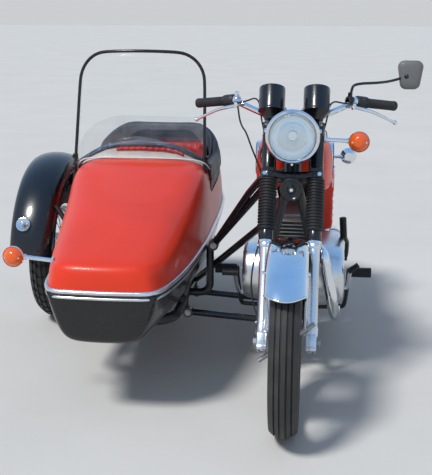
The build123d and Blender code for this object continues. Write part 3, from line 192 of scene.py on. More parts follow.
def makeSpeckGroup():
    # Patchy tone, fine specks of dust and a little relief
    group, source, sink = newGroup("dustAndTone", [
        ("Vector", "NodeSocketVector", None), ("Colour", "NodeSocketColor", (0.5, 0.5, 0.5, 1)),
        ("Dust", "NodeSocketColor", (0.4, 0.36, 0.3, 1)), ("Tone", "NodeSocketFloat", 0.15),
        ("Amount", "NodeSocketFloat", 0.1), ("Scale", "NodeSocketFloat", 6.0),
        ("Specks", "NodeSocketFloat", 220.0)],
        [("Colour", "NodeSocketColor"), ("Mask", "NodeSocketFloat"), ("Height", "NodeSocketFloat")])
    wide = addNode(group, "ShaderNodeTexNoise", Detail=5.0, Roughness=0.6)
    fine = addNode(group, "ShaderNodeTexNoise", Detail=3.0, Roughness=0.7)
    link = group.links.new
    for node, scale in ((wide, "Scale"), (fine, "Specks")):
        link(source.outputs["Vector"], node.inputs["Vector"])
        link(source.outputs[scale], node.inputs["Scale"])
    patches = mapRange(group, wide.outputs["Fac"], 0.35, 0.7)
    specks = mapRange(group, fine.outputs["Fac"], 0.56, 0.72)
    darker = mixColour(group, mathNode(group, "MULTIPLY", patches, source.outputs["Tone"]),
                       source.outputs["Colour"], (0.0, 0.0, 0.0, 1))
    mask = mathNode(group, "MULTIPLY", mathNode(group, "MULTIPLY", specks, patches),
                    source.outputs["Amount"], clamp=True)
    link(mixColour(group, mask, darker, source.outputs["Dust"]), sink.inputs["Colour"])
    link(mask, sink.inputs["Mask"])
    link(fine.outputs["Fac"], sink.inputs["Height"])
    return group


def makeGrainGroup():
    # Pebbled grain of vinyl or moulded rubber
    group, source, sink = newGroup("pebbleGrain", [
        ("Vector", "NodeSocketVector", None), ("Scale", "NodeSocketFloat", 320.0),
        ("Creases", "NodeSocketFloat", 0.35)],
        [("Height", "NodeSocketFloat"), ("Mask", "NodeSocketFloat")])
    cells = addNode(group, "ShaderNodeTexVoronoi")
    cells.feature = "DISTANCE_TO_EDGE"
    folds = addNode(group, "ShaderNodeTexNoise", Scale=22.0, Detail=4.0)
    link = group.links.new
    link(source.outputs["Vector"], cells.inputs["Vector"])
    link(source.outputs["Scale"], cells.inputs["Scale"])
    link(source.outputs["Vector"], folds.inputs["Vector"])
    pebble = mapRange(group, cells.outputs["Distance"], 0.0, 0.12)
    crease = mathNode(group, "MULTIPLY", folds.outputs["Fac"], source.outputs["Creases"])
    link(mathNode(group, "ADD", pebble, crease), sink.inputs["Height"])
    # The mask is low in the grooves between pebbles, where softFinish paints shade
    link(pebble, sink.inputs["Mask"])
    return group


speckGroup = makeSpeckGroup()
grainGroup = makeGrainGroup()


finishes = {}


def startMaterial(name):
    material = finishes[name] = bpy.data.materials.new(name)
    material.use_nodes = True
    shader = material.node_tree.nodes["Principled BSDF"]
    coordinates = material.node_tree.nodes.new("ShaderNodeTexCoord")
    return material.node_tree, shader, coordinates.outputs["Object"]


def addGroup(tree, made, place, values):
    node = tree.nodes.new("ShaderNodeGroup")
    node.node_tree = made
    tree.links.new(place, node.inputs["Vector"])
    setInputs(node, values)
    return node


reliefDepth = 0.0006  # metres between the lowest and highest grain


def addBump(tree, shader, height, strength):
    bump = addNode(tree, "ShaderNodeBump", Strength=strength, Distance=reliefDepth)
    tree.links.new(height, bump.inputs["Height"])
    tree.links.new(bump.outputs["Normal"], shader.inputs["Normal"])


def hardFinish(name, colour, roughness, metallic=0.0, coat=0.0, tone=0.2, dust=0.1,
               dustColour=(0.42, 0.38, 0.33, 1), scale=6.0, specks=240.0, bump=0.06, roughSpread=0.12,
               specular=0.5):
    # Paint, plate, cast metal or moulded plastic with uneven tone, dust and a slight relief
    tree, shader, place = startMaterial(name)
    group = addGroup(tree, speckGroup, place, {"Colour": (*colour, 1), "Dust": dustColour, "Tone": tone,
                                               "Amount": dust, "Scale": scale, "Specks": specks})
    tree.links.new(group.outputs["Colour"], shader.inputs["Base Color"])
    rough = mapRange(tree, group.outputs["Height"], 0.3, 0.7, roughness, roughness + roughSpread)
    tree.links.new(rough, shader.inputs["Roughness"])
    addBump(tree, shader, group.outputs["Height"], bump)
    setInputs(shader, {"Metallic": metallic, "Coat Weight": coat, "Coat Roughness": 0.03,
                       "Specular IOR Level": specular})


def softFinish(name, colour, wornColour, roughness, grain, strength):
    # Grained vinyl or rubber, paler where it is rubbed, with painted shade darkening the grooves between the
    # pebbles
    tree, shader, place = startMaterial(name)
    group = addGroup(tree, grainGroup, place, {"Scale": grain})
    noise = addNode(tree, "ShaderNodeTexNoise", Scale=9.0, Detail=6.0)
    tree.links.new(place, noise.inputs["Vector"])
    worn = mapRange(tree, noise.outputs["Fac"], 0.45, 0.75, 0.0, 0.8)
    rubbed = mixColour(tree, worn, (*colour, 1), (*wornColour, 1))
    # Painted shade: the grooves between the pebbles are darkened by up to half
    paintedGrooveShade = mathNode(tree, "MULTIPLY", mathNode(tree, "SUBTRACT", 1.0, group.outputs["Mask"]), 0.5)
    tree.links.new(mixColour(tree, paintedGrooveShade, rubbed, (0, 0, 0, 1)), shader.inputs["Base Color"])
    rough = mapRange(tree, noise.outputs["Fac"], 0.3, 0.7, roughness, roughness + 0.15)
    tree.links.new(rough, shader.inputs["Roughness"])
    addBump(tree, shader, group.outputs["Height"], strength)


def clearFinish(name, colour, roughness, alpha=1.0, dust=0.02):
    # Glass or clear plastic with a thin film of dust
    tree, shader, place = startMaterial(name)
    noise = addNode(tree, "ShaderNodeTexNoise", Scale=14.0, Detail=8.0)
    tree.links.new(place, noise.inputs["Vector"])
    rough = mapRange(tree, noise.outputs["Fac"], 0.4, 0.8, roughness, roughness + 4 * dust)
    tree.links.new(rough, shader.inputs["Roughness"])
    setInputs(shader, {"Base Color": (*colour, 1), "Transmission Weight": 1.0, "IOR": 1.45})
    if alpha < 1.0:
        film = mapRange(tree, noise.outputs["Fac"], 0.35, 0.8, alpha, alpha + dust * 4)
        tree.links.new(film, shader.inputs["Alpha"])


hardFinish("redPaint", (0.86, 0.05, 0.018), 0.3, coat=0.14, tone=0.14, dust=0.14, scale=3.0, specks=160.0,
           bump=0.03, dustColour=(0.85, 0.40, 0.30, 1), specular=0.27)
hardFinish("blackPaint", (0.006, 0.006, 0.008), 0.2, coat=0.35, tone=0.0, dust=0.07, bump=0.03, specular=0.4)
hardFinish("framePaint", (0.01, 0.01, 0.011), 0.35, coat=0.3, tone=0.0, dust=0.22, bump=0.08)
hardFinish("chromePlate", (0.82, 0.84, 0.87), 0.06, metallic=1.0, tone=0.12, dust=0.1, scale=9.0,
           specks=300.0, bump=0.02, roughSpread=0.06)
hardFinish("polishedAlloy", (0.8, 0.81, 0.82), 0.24, metallic=1.0, tone=0.2, dust=0.2, bump=0.06)
hardFinish("castAlloy", (0.42, 0.42, 0.42), 0.5, metallic=0.8, tone=0.4, dust=0.35, bump=0.3, specks=420.0)
hardFinish("bareSteel", (0.42, 0.42, 0.43), 0.38, metallic=1.0, tone=0.35, dust=0.3, bump=0.12)
hardFinish("blackPlastic", (0.018, 0.018, 0.02), 0.42, tone=0.0, dust=0.2, bump=0.1)
hardFinish("plateWhite", (0.8, 0.8, 0.78), 0.4, tone=0.08, dust=0.15, bump=0.03)
softFinish("tyreRubber", (0.035, 0.035, 0.036), (0.095, 0.09, 0.082), 0.6, 500.0, 0.2)
softFinish("bellowsRubber", (0.012, 0.012, 0.013), (0.035, 0.034, 0.032), 0.48, 420.0, 0.15)
softFinish("blackVinyl", (0.016, 0.017, 0.02), (0.04, 0.043, 0.05), 0.36, 300.0, 0.3)
softFinish("greyVinyl", (0.055, 0.072, 0.098), (0.14, 0.17, 0.215), 0.36, 300.0, 0.3)
softFinish("paleVinyl", (0.52, 0.52, 0.5), (0.8, 0.8, 0.77), 0.42, 300.0, 0.25)
softFinish("redVinyl", (0.5, 0.03, 0.025), (0.66, 0.09, 0.075), 0.42, 300.0, 0.3)
clearFinish("screenGlass", (0.95, 0.97, 0.98), 0.015, alpha=0.09, dust=0.03)
hardFinish("reflector", (0.93, 0.94, 0.95), 0.04, metallic=1.0, tone=0.05, dust=0.0, bump=0.0,
           roughSpread=0.02)
hardFinish("mirrorShell", (0.16, 0.165, 0.17), 0.4, tone=0.1, dust=0.2, bump=0.08)
clearFinish("lampGlass", (0.9, 0.96, 0.99), 0.01, dust=0.005)
hardFinish("orangeLens", (0.92, 0.13, 0.008), 0.16, coat=0.5, tone=0.1, dust=0.05)
hardFinish("redLens", (0.55, 0.012, 0.008), 0.16, coat=0.5, tone=0.1, dust=0.05)
slotFinish = {
    "tyre_rubber": "tyreRubber", "wheel_metal": "chromePlate", "fork_aluminium": "polishedAlloy",
    "black_rubber": "bellowsRubber", "gloss_black": "blackPaint", "chrome": "chromePlate",
    "black_plastic": "blackPlastic", "red_paint": "redPaint", "clear_glass": "lampGlass",
    "orange_lens": "orangeLens", "red_lens": "redLens", "black_vinyl": "blackVinyl",
    "grey_vinyl": "greyVinyl", "red_vinyl": "redVinyl", "cast_aluminium": "castAlloy",
    "polished_aluminium": "polishedAlloy", "steel": "bareSteel", "plate_white": "plateWhite",
    "mirror_black": "blackPlastic",
}
nodeFinish = {"windscreen_sheet": "screenGlass", "main_frame": "framePaint", "sidecar_chassis": "framePaint",
              "swing_arm": "framePaint", "sidecar_suspension": "framePaint"}
slots = {row["node"]: row["material_slot"] for row in frame["record"]["subparts"]}
for name, node in frame["nodes"].items():
    node.data.materials.clear()
    node.data.materials.append(finishes[nodeFinish.get(name, slotFinish[slots[name]])])
print("finishes made:", len(finishes))


# Mesh helpers
def linkObject(name, data):
    made = bpy.data.objects.new(name, data)
    bpy.context.scene.collection.objects.link(made)
    return made


def mergeInto(mesh, part, placing=None, material=0):
    # Adds a finished part to a piece's mesh, with its faces turned outwards
    bmesh.ops.remove_doubles(part, verts=part.verts, dist=1e-6)
    bmesh.ops.recalc_face_normals(part, faces=part.faces)
    for face in part.faces:
        face.material_index = material
    if placing is not None:
        bmesh.ops.transform(part, matrix=placing, verts=part.verts)
    data = bpy.data.meshes.new("scratch")
    part.to_mesh(data)
    part.free()
    mesh.from_mesh(data)
    bpy.data.meshes.remove(data)


def finishPiece(name, data, finish, body, replaced=(), sharp=38, levels=0):
    piece = linkObject(name, data)
    for each in ([finish] if isinstance(finish, str) else finish):
        data.materials.append(finishes[each])
    data.polygons.foreach_set("use_smooth", [True] * len(data.polygons))
    data.set_sharp_from_angle(angle=math.radians(sharp))
    if levels:
        smooth = piece.modifiers.new("smooth", "SUBSURF")
        smooth.levels = smooth.render_levels = levels
    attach(piece, body)
    if replaced:
        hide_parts(*replaced)
    return piece


def newPiece(name, mesh, finish, body, replaced=(), sharp=38, levels=0):
    data = bpy.data.meshes.new(name)
    mesh.to_mesh(data)
    mesh.free()
    return finishPiece(name, data, finish, body, replaced, sharp, levels)


def spin(profile, steps, degrees=360, closed=False):
    # Points (radius, height) spun round the z axis
    part = bmesh.new()
    verts = [part.verts.new((radius, 0, height)) for radius, height in profile]
    edges = [part.edges.new(pair) for pair in zip(verts, verts[1:] + (verts[:1] if closed else []))]
    bmesh.ops.spin(part, geom=verts + edges, cent=(0, 0, 0), axis=(0, 0, 1), angle=math.radians(degrees),
                   steps=steps, use_merge=degrees == 360)
    return part


def addTurned(mesh, profile, placing, steps=64, material=0):
    mergeInto(mesh, spin(profile, steps), placing, material)


def vertsOf(made):
    return [item for item in made if isinstance(item, bmesh.types.BMVert)]


def addRod(mesh, start, end, radius, material=0, sides=20):
    start, end = Vector(start), Vector(end)
    part = bmesh.new()
    bmesh.ops.create_cone(part, cap_ends=True, segments=sides, radius1=radius, radius2=radius,
                          depth=(end - start).length)
    mergeInto(mesh, part, basis((start + end) / 2, end - start), material)


def addBox(mesh, size, placing, bevel=0.0, material=0, segments=2):
    part = bmesh.new()
    bmesh.ops.create_cube(part, size=1)
    bmesh.ops.scale(part, vec=size, verts=part.verts)
    if bevel:
        bmesh.ops.bevel(part, geom=part.edges, offset=bevel, segments=segments, profile=0.5, affect="EDGES",
                        material=-1)
    mergeInto(mesh, part, placing, material)


def makeRun(name, points, radius, sides, order, closed, resolution, radii=None):
    # A round curve along a smooth line through the points' neighbourhood
    curve = bpy.data.curves.new(name, "CURVE")
    curve.dimensions = "3D"
    curve.bevel_depth = radius
    curve.bevel_resolution = sides
    curve.use_fill_caps = not closed
    curve.resolution_u = resolution
    spline = curve.splines.new("NURBS")
    spline.points.add(len(points) - 1)
    for index, place in enumerate(points):
        spline.points[index].co = (*place, 1)
        if radii:
            spline.points[index].radius = radii[index]
    spline.order_u = order
    spline.use_endpoint_u = not closed
    spline.use_cyclic_u = closed
    return curve


def addTube(mesh, points, radius, material=0, sides=5, order=3, closed=False, resolution=8, radii=None):
    curve = makeRun("run", points, radius, sides, order, closed, resolution, radii)
    holder = bpy.data.objects.new("run", curve)
    data = bpy.data.meshes.new_from_object(holder)
    part = bmesh.new()
    part.from_mesh(data)
    mergeInto(mesh, part, None, material)
    bpy.data.meshes.remove(data)
    bpy.data.objects.remove(holder)
    bpy.data.curves.remove(curve)


def addRows(mesh, rows, material=0, closed=False):
    # A skin through rows of points: the first row's edges are extruded from row to row
    part = bmesh.new()
    last = [part.verts.new(point) for point in rows[0]]
    pairs = list(zip(last, last[1:])) + ([(last[-1], last[0])] if closed else [])
    edges = [part.edges.new(pair) for pair in pairs]
    for row in rows[1:]:
        made = bmesh.ops.extrude_edge_only(part, edges=edges)["geom"]
        edges = [item for item in made if isinstance(item, bmesh.types.BMEdge)]
        fresh = vertsOf(made)
        edges = [edge for edge in edges if edge.verts[0] in fresh and edge.verts[1] in fresh]
        order = [min(fresh, key=lambda vert: (vert.co - old.co).length) for old in last]
        for vert, point in zip(order, row):
            vert.co = point
        last = order
    mergeInto(mesh, part, None, material)


def closeEnds(mesh):
    bmesh.ops.holes_fill(mesh, edges=[edge for edge in mesh.edges if edge.is_boundary], sides=0)


def thicken(piece, thickness, offset=-1):
    # Gives a skin its wall; the offset of -1 keeps the outside where it is
    wall = piece.modifiers.new("wall", "SOLIDIFY")
    wall.thickness = thickness
    wall.offset = offset


def addBall(mesh, place, radius, segments, rings, material=0):
    part = bmesh.new()
    bmesh.ops.create_uvsphere(part, u_segments=segments, v_segments=rings, radius=radius)
    mergeInto(mesh, part, Matrix.Translation(place), material)


def addBolt(mesh, place, out, radius=0.006, height=0.005, material=0):
    addRod(mesh, Vector(place) - Vector(out) * height * 0.5, Vector(place) + Vector(out) * height * 0.2,
           radius * 1.35, material, 20)
    addRod(mesh, place, Vector(place) + Vector(out) * height, radius, material, 6)


def arcPoints(centre, radius, fromDegrees, toDegrees, count):
    # Points of an arc in its own plane, both ends included
    step = (toDegrees - fromDegrees) / (count - 1)
    turns = [math.radians(fromDegrees + step * index) for index in range(count)]
    return [(centre[0] + radius * math.cos(turn), centre[1] + radius * math.sin(turn)) for turn in turns]


# The corners of a rounded outline: signs of x and y, and where the corner's arc starts
corners = ((1, 1, 0), (-1, 1, 90), (-1, -1, 180), (1, -1, 270))


def roundedBox(width, height, corner):
    points = []
    for signX, signY, start in corners:
        middle = (signX * (width / 2 - corner), signY * (height / 2 - corner))
        points += arcPoints(middle, corner, start, start + 90, 5)
    return points


# Tyres: ribs on the front, staggered blocks on the driven wheel and the sidecar's
tyreSet = {"grooveDepth": 0.0055, "grooveWidth": 0.0036, "blockDepth": 0.004, "steps": 120}
# columns: name, hub, axle, tyre radius, width and height, places of the grooves, whether they form blocks
rearGrooves = (-0.03, -0.011, 0.011, 0.03)
wheels = (("front", frontHub, forkSide, 0.309, 0.093, 0.080, (-0.026, -0.0095, 0.0095, 0.026), False),
          ("rear", rearHub, (1, 0, 0), 0.292, 0.100, 0.089, rearGrooves, True),
          ("sidecar", carHub, (1, 0, 0), 0.292, 0.100, 0.089, rearGrooves, True))


def tyreProfile(radius, width, height, grooves):
    half = width / 2
    bead = radius - height
    shoulderZ, drop = 0.78 * half, 0.22 * height
    side = [(bead, 0.028), (bead + 0.010, 0.0305), (bead + 0.014, 0.0335), (bead + 0.3 * height, half * 0.93),
            (bead + 0.34 * height, half * 0.955), (bead + 0.36 * height, half * 0.95),
            (bead + 0.52 * height, half), (bead + 0.66 * height, half * 0.965),
            (bead + 0.68 * height, half * 0.975), (radius - drop - 0.003, shoulderZ + 0.0035)]
    tread = [(shoulderZ, 0.0)]
    for groove in sorted(grooves, reverse=True):
        reach = tyreSet["grooveWidth"] / 2
        tread += [(groove + reach + 0.0012, 0.0), (groove + reach, tyreSet["grooveDepth"]),
                  (groove - reach, tyreSet["grooveDepth"]), (groove - reach - 0.0012, 0.0)]
    tread.append((-shoulderZ, 0.0))
    crown = [(radius - drop * (z / shoulderZ) ** 2 - depth, z) for z, depth in tread]
    return side + crown + [(r, -z) for r, z in reversed(side)]


def makeTyre(name, hub, axle, radius, width, height, grooves, blocks):
    steps = tyreSet["steps"]
    part = spin(tyreProfile(radius, width, height, grooves), steps)
    bmesh.ops.remove_doubles(part, verts=part.verts, dist=1e-6)
    bmesh.ops.recalc_face_normals(part, faces=part.faces)
    if blocks:
        # Cross grooves cut the ribs into blocks, staggered from side to side
        chosen = []
        for face in part.faces:
            centre = face.calc_center_median()
            reach = math.hypot(centre.x, centre.y)
            index = round(math.degrees(math.atan2(centre.y, centre.x)) / (360 / steps) - 0.5)
            shift = (0 if abs(centre.z) < 0.012 else 1) + (0 if centre.z > 0 else 1)
            if reach > radius - 0.24 * height and (index + shift) % 3 == 0 and abs(face.normal.z) < 0.75:
                chosen.append(face)
        made = bmesh.ops.extrude_face_region(part, geom=chosen)["geom"]
        for vert in vertsOf(made):
            reach = math.hypot(vert.co.x, vert.co.y)
            vert.co.x *= (reach - tyreSet["blockDepth"]) / reach
            vert.co.y *= (reach - tyreSet["blockDepth"]) / reach
        bmesh.ops.delete(part, geom=[face for face in chosen if face.is_valid], context="FACES")
    mesh = bmesh.new()
    mergeInto(mesh, part, basis(hub, axle, (0, 0, 1)))
    newPiece(name + "Tyre", mesh, "tyreRubber", "wheel_" + name, (name + "_tyre",), sharp=25)


for wheel in wheels:
    makeTyre(*wheel)
print("tyres made")


# Mudguards: a rolled edge below straight skirts and a round crown, spun about the wheel's axle
def guardProfile(settings):
    half, radius, drop, sheet, roll = (settings[key] for key in ("half", "radius", "drop", "sheet", "roll"))
    # Points (out from the axle, across), down one skirt, over the crown and back inside
    skirt = radius - 0.5 * drop
    crown = [(skirt + 0.5 * drop * math.sin(math.radians(angle)), half * math.cos(math.radians(angle)))
             for angle in range(0, 181, 15)]
    outer = [(radius - drop, half)] + crown + [(radius - drop, -half)]
    inner = [(r - sheet, z * (1 - sheet / half)) for r, z in reversed(outer[1:-1])]
    rollEnd = [(radius - drop - 0.6 * roll, -half - 0.5 * roll), (radius - drop - roll, -half + 0.3 * roll),
               (radius - drop - 0.4 * roll, -half + roll), (radius - drop, -half + sheet)]
    rollStart = [(r, -z) for r, z in reversed(rollEnd)]
    return outer + rollEnd + inner + rollStart


def addGuard(mesh, hub, axle, start, settings, steps=56, lip=0):
    # start is the direction of the first edge, seen from the hub; lip is how many degrees the
    # skirts' front edge lies behind the crown's
    part = spin(guardProfile(settings), steps, settings["to"] - settings["from"], True)
    closeEnds(part)
    for vert in part.verts:
        turned = math.degrees(math.atan2(vert.co.y, vert.co.x))
        back = lip * min(1.0, abs(vert.co.z) / settings["half"]) ** 2 * max(0.0, 1 - turned / 40)
        vert.co = Matrix.Rotation(math.radians(back), 3, "Z") @ vert.co
    mergeInto(mesh, part, basis(hub, axle, start))


frontGuard = {"radius": 0.341, "half": 0.063, "drop": 0.044, "sheet": 0.0016, "roll": 0.004, "from": 40,
              "to": 186, "lip": 5, "lipEdge": 0.0035, "stay": 0.004}


def guardDirection(degrees):
    return ahead * math.cos(math.radians(degrees)) + upright * math.sin(math.radians(degrees))


def makeFrontMudguard():
    mesh = bmesh.new()
    settings = frontGuard
    addGuard(mesh, frontHub, -forkSide, guardDirection(settings["from"]), settings, 56, settings["lip"])
    # The rolled front edge
    edge = []
    for turn in range(0, 181, 15):
        across = settings["half"] * math.cos(math.radians(turn))
        reach = settings["radius"] - settings["drop"] * (0.5 - 0.5 * math.sin(math.radians(turn)))
        forward = guardDirection(settings["from"] + settings["lip"] * (across / settings["half"]) ** 2)
        edge.append(frontHub + forward * reach + forkSide * across)
    addTube(mesh, edge, settings["lipEdge"], 0, 8, 3, False, 8)
    for side in (-1, 1):
        for angle in (62, 158):
            edge = frontHub + guardDirection(angle) * (settings["radius"] - settings["drop"] + 0.012)
            flange = edge + forkSide * side * (settings["half"] + 0.002)
            foot = onLegs(side * (legSide - 0.022), 0, 0.024)
            addTube(mesh, [flange - guardDirection(angle) * 0.02, flange, flange.lerp(foot, 0.5), foot],
                    settings["stay"])
            addBolt(mesh, flange + forkSide * side * 0.003, forkSide * side, 0.005, 0.005)
        # The brace from the guard to the leg
        addRod(mesh, onLegs(side * 0.056, 0, 0.312), onLegs(side * legSide, 0, 0.312), 0.007)
    newPiece("frontMudguard", mesh, "chromePlate", "steering", ("front_mudguard",))


carGuard = {"radius": 0.440, "half": 0.086, "drop": 0.075, "sheet": 0.002, "roll": 0.006, "from": 11,
            "to": 172}


def makeSidecarMudguard():
    mesh = bmesh.new()
    settings = carGuard
    angle = math.radians(settings["from"])
    addGuard(mesh, carHub, (-1, 0, 0), (0, -math.cos(angle), math.sin(angle)), settings, 72)
    newPiece("sidecarMudguard", mesh, "blackPaint", "root", ("sidecar_mudguard",))


makeFrontMudguard()
makeSidecarMudguard()
print("mudguards made")


# Sidecar body. Columns: y, middle x, half width at the split, ridge half width, ridge z, corner size,
# floor half width, floor z
bodyRows = [
    (0.060, -0.600, 0.203, 0.180, 0.572, 0.034, 0.156, 0.288),
    (0.220, -0.597, 0.228, 0.202, 0.621, 0.045, 0.178, 0.294),
    (0.380, -0.601, 0.246, 0.219, 0.669, 0.055, 0.194, 0.298),
    (0.570, -0.606, 0.261, 0.240, 0.722, 0.052, 0.211, 0.302),
    (0.750, -0.615, 0.276, 0.266, 0.773, 0.046, 0.224, 0.302),
    (0.960, -0.617, 0.275, 0.256, 0.757, 0.066, 0.230, 0.303),
    (1.180, -0.617, 0.275, 0.254, 0.731, 0.064, 0.232, 0.304),
    (1.500, -0.612, 0.258, 0.236, 0.690, 0.060, 0.214, 0.318),
    (1.680, -0.605, 0.226, 0.204, 0.636, 0.052, 0.180, 0.346),
]
# The openings are for the cockpit and the collar: half width, front, rear, foot and corner
bodySet = {"tubSquare": 0.62, "split": 0.452, "noseY": -0.034, "tailY": 1.788, "wall": 0.004,
           "openingX": -0.616, "openings": ((0.234, 0.808, 1.39, 0.40, 0.09),
                                            (0.292, 0.872, 1.428, 0.612, 0.11)),
           "bead": 0.0080, "lowBead": 0.0056, "joint": 0.0065}


def sectionPoints(y, mid, half, ridgeHalf, ridge, corner, split):
    # Half a cross-section from the split to the middle; ridge above or below the split
    side = 1 if ridge > split else -1
    rise = ridge - split
    lean = half - ridgeHalf
    points = [(half, split), (half - 0.12 * lean, split + 0.33 * rise),
              (half - 0.42 * lean, split + 0.66 * rise), (ridgeHalf + 0.002, ridge - side * 0.92 * corner),
              (ridgeHalf - 0.80 * corner, ridge - side * 0.14 * corner), (ridgeHalf * 0.46, ridge),
              (0.0, ridge + side * 0.004)]
    return bothSides([(x, y, z) for x, z in points], mid, -1)


def endPoints(mid, half, ridgeHalf, ridge, split, startY, endY, boxy=0.0):
    # Rows that close an end: over the ridge and down to the split; boxy squares the corner off
    heights = [(0, 0.33, 0.68, 0.90, 0.985, 1.0, 1.0), (0, 0.28, 0.50, 0.64, 0.72, 0.75, 0.76),
               (0, 0.12, 0.20, 0.27, 0.31, 0.33, 0.335), (0,) * 7]
    widths = [(0.985, 0.975, 0.955, 0.90, 0.76, 0.40, 0), (0.93, 0.90, 0.86, 0.80, 0.63, 0.32, 0),
              (0.82, 0.78, 0.72, 0.64, 0.47, 0.24, 0), (0.72, 0.66, 0.60, 0.52, 0.37, 0.19, 0)]
    depths = [(0.30, 0.33, 0.37, 0.43, 0.53, 0.60, 0.63), (0.62, 0.65, 0.68, 0.72, 0.82, 0.90, 0.93),
              (0.82, 0.84, 0.86, 0.89, 0.94, 0.98, 1.0), (0.90, 0.92, 0.93, 0.95, 0.98, 1.0, 1.01)]
    rows = []
    for height, width, depth in zip(heights, widths, depths):
        depth = [share + boxy * (0.97 - share) for share in depth]
        points = [((half - (half - ridgeHalf) * h) * w, startY + (endY - startY) * d,
                   split + (ridge - split) * h)
                  for h, w, d in zip(height, width, depth)]
        rows.append(bothSides(points, mid, -1))
    return rows


def bodySkin(upper):
    # The upper body's skin from end to end, or the tub's; an end starts with its middle x, its half
    # width, and the half width and height of its ridge or floor
    split = bodySet["split"]
    nose = (-0.601, 0.188, *((0.166, 0.554) if upper else (0.138, 0.276)))
    tail = (-0.600, 0.206, *((0.184, 0.612) if upper else (0.158, 0.364)))
    middle = []
    for y, mid, half, ridgeHalf, ridge, corner, floorHalf, floor in bodyRows:
        middle.append(sectionPoints(y, mid, half, ridgeHalf, ridge, corner, split) if upper else
                      sectionPoints(y, mid, half, floorHalf, floor, 0.05, split))
    front = endPoints(*nose, split, 0.030, bodySet["noseY"], 0.0 if upper else bodySet["tubSquare"])
    rear = endPoints(*tail, split, 1.735, bodySet["tailY"])
    return list(reversed(front)) + middle + rear


def applyAll(piece):
    # The piece's modifiers are applied, so that later steps read its final mesh
    graph = bpy.context.evaluated_depsgraph_get()
    data = bpy.data.meshes.new_from_object(piece.evaluated_get(graph))
    old = piece.data
    piece.modifiers.clear()
    piece.data = data
    bpy.data.meshes.remove(old)


def makeCutter(half, front, rear, low, corner):
    # A block with rounded upright corners that reaches above the body
    mesh = bmesh.new()
    high = 1.0
    bmesh.ops.create_cube(mesh, size=1)
    bmesh.ops.scale(mesh, vec=(2 * half, rear - front, high - low), verts=mesh.verts)
    standing = [edge for edge in mesh.edges if abs(edge.verts[0].co.z - edge.verts[1].co.z) > 0.01]
    bmesh.ops.bevel(mesh, geom=standing, offset=corner, segments=10, profile=0.5, affect="EDGES", material=-1)
    bmesh.ops.translate(mesh, vec=onBike(bodySet["openingX"], (front + rear) / 2, (low + high) / 2),
                        verts=mesh.verts)
    data = bpy.data.meshes.new("cutter")
    mesh.to_mesh(data)
    mesh.free()
    data.polygons.foreach_set("material_index", [1] * len(data.polygons))
    return linkObject("cutter", data)


def makeShell(name, upper, finish, replaced):
    mesh = bmesh.new()
    addRows(mesh, bodySkin(upper))
    shell = newPiece(name, mesh, finish, "root", (replaced,), sharp=180, levels=3)
    applyAll(shell)
    return shell


def giveWall(shell):
    thicken(shell, bodySet["wall"])
    bpy.context.view_layer.update()
    applyAll(shell)


def makeSidecarBody():
    # The second finish marks what the cutters leave behind
    body = makeShell("sidecarUpperBody", True, ("redPaint", "redPaint"), "upper_body")
    cutters = [makeCutter(*opening) for opening in bodySet["openings"]]
    for cutter in cutters:
        cut = body.modifiers.new("cut", "BOOLEAN")
        cut.operation = "DIFFERENCE"
        cut.object = cutter
        cut.solver = "EXACT"
    bpy.context.view_layer.update()
    applyAll(body)
    # Only the skin stays: the faces that the cutters left behind go
    mesh = bmesh.new()
    mesh.from_mesh(body.data)
    bmesh.ops.delete(mesh, geom=[face for face in mesh.faces if face.material_index == 1], context="FACES")
    mesh.to_mesh(body.data)
    mesh.free()
    body.data.materials.pop()
    giveWall(body)
    for cutter in cutters:
        bpy.data.objects.remove(cutter)
    body.data.set_sharp_from_angle(angle=math.radians(50))
    giveWall(makeShell("sidecarTub", False, "blackPaint", "lower_tub"))


def splitLine(grow, z):
    # The closed line round the body at the split, a little outside it
    rows = bodySkin(True)
    left = [row[0] for row in rows]
    far = [row[-1] for row in rows]
    loop = left + rows[-1][1:-1] + far[::-1] + rows[0][1:-1][::-1]
    centre = onBike(-0.6, 0.85, 0)
    grown = []
    for point in loop:
        out = Vector((point.x - centre.x, (point.y - centre.y) * 0.25, 0)).normalized()
        grown.append(Vector((point.x, point.y, z)) + out * grow)
    return grown


def makeTrim():
    # Two bright half-round beads with a dark joint between them
    mesh = bmesh.new()
    for offset, radius in ((0.0105, bodySet["bead"]), (-0.0085, bodySet["lowBead"])):
        addTube(mesh, splitLine(0.0015, bodySet["split"] + offset), radius, 0, 4, 3, True, 6)
    addTube(mesh, splitLine(0.0002, bodySet["split"]), bodySet["joint"], 1, 4, 3, True, 6)
    newPiece("bodyTrim", mesh, ("polishedAlloy", "blackPlastic"), "root", sharp=60)


makeSidecarBody()
makeTrim()
print("sidecar body made")


# Padded goods
def puff(piece, voxel, limit, pressure=4.0, frames=20):
    # Cloth simulation swells a closed pad; no point moves further than the limit
    remesh = piece.modifiers.new("voxels", "REMESH")
    remesh.mode = "VOXEL"
    remesh.voxel_size = voxel
    applyAll(piece)
    start = [vert.co.copy() for vert in piece.data.vertices]
    cloth = piece.modifiers.new("cloth", "CLOTH")
    cloth.settings.quality = 5
    cloth.settings.use_pressure = True
    cloth.settings.uniform_pressure_force = pressure
    cloth.settings.effector_weights.gravity = 0
    for step in range(1, frames + 1):
        bpy.context.scene.frame_set(step)
    swollen = piece.evaluated_get(bpy.context.evaluated_depsgraph_get()).to_mesh()
    moves = [new.co - old for new, old in zip(swollen.vertices, start)]
    piece.evaluated_get(bpy.context.evaluated_depsgraph_get()).to_mesh_clear()
    bpy.context.scene.frame_set(1)
    piece.modifiers.clear()
    for vert, old, move in zip(piece.data.vertices, start, moves):
        vert.co = old + move * min(1.0, limit / max(move.length, 1e-9))
    smooth = piece.modifiers.new("smooth", "SUBSURF")
    smooth.levels = smooth.render_levels = 1
    applyAll(piece)
    piece.data.polygons.foreach_set("use_smooth", [True] * len(piece.data.polygons))


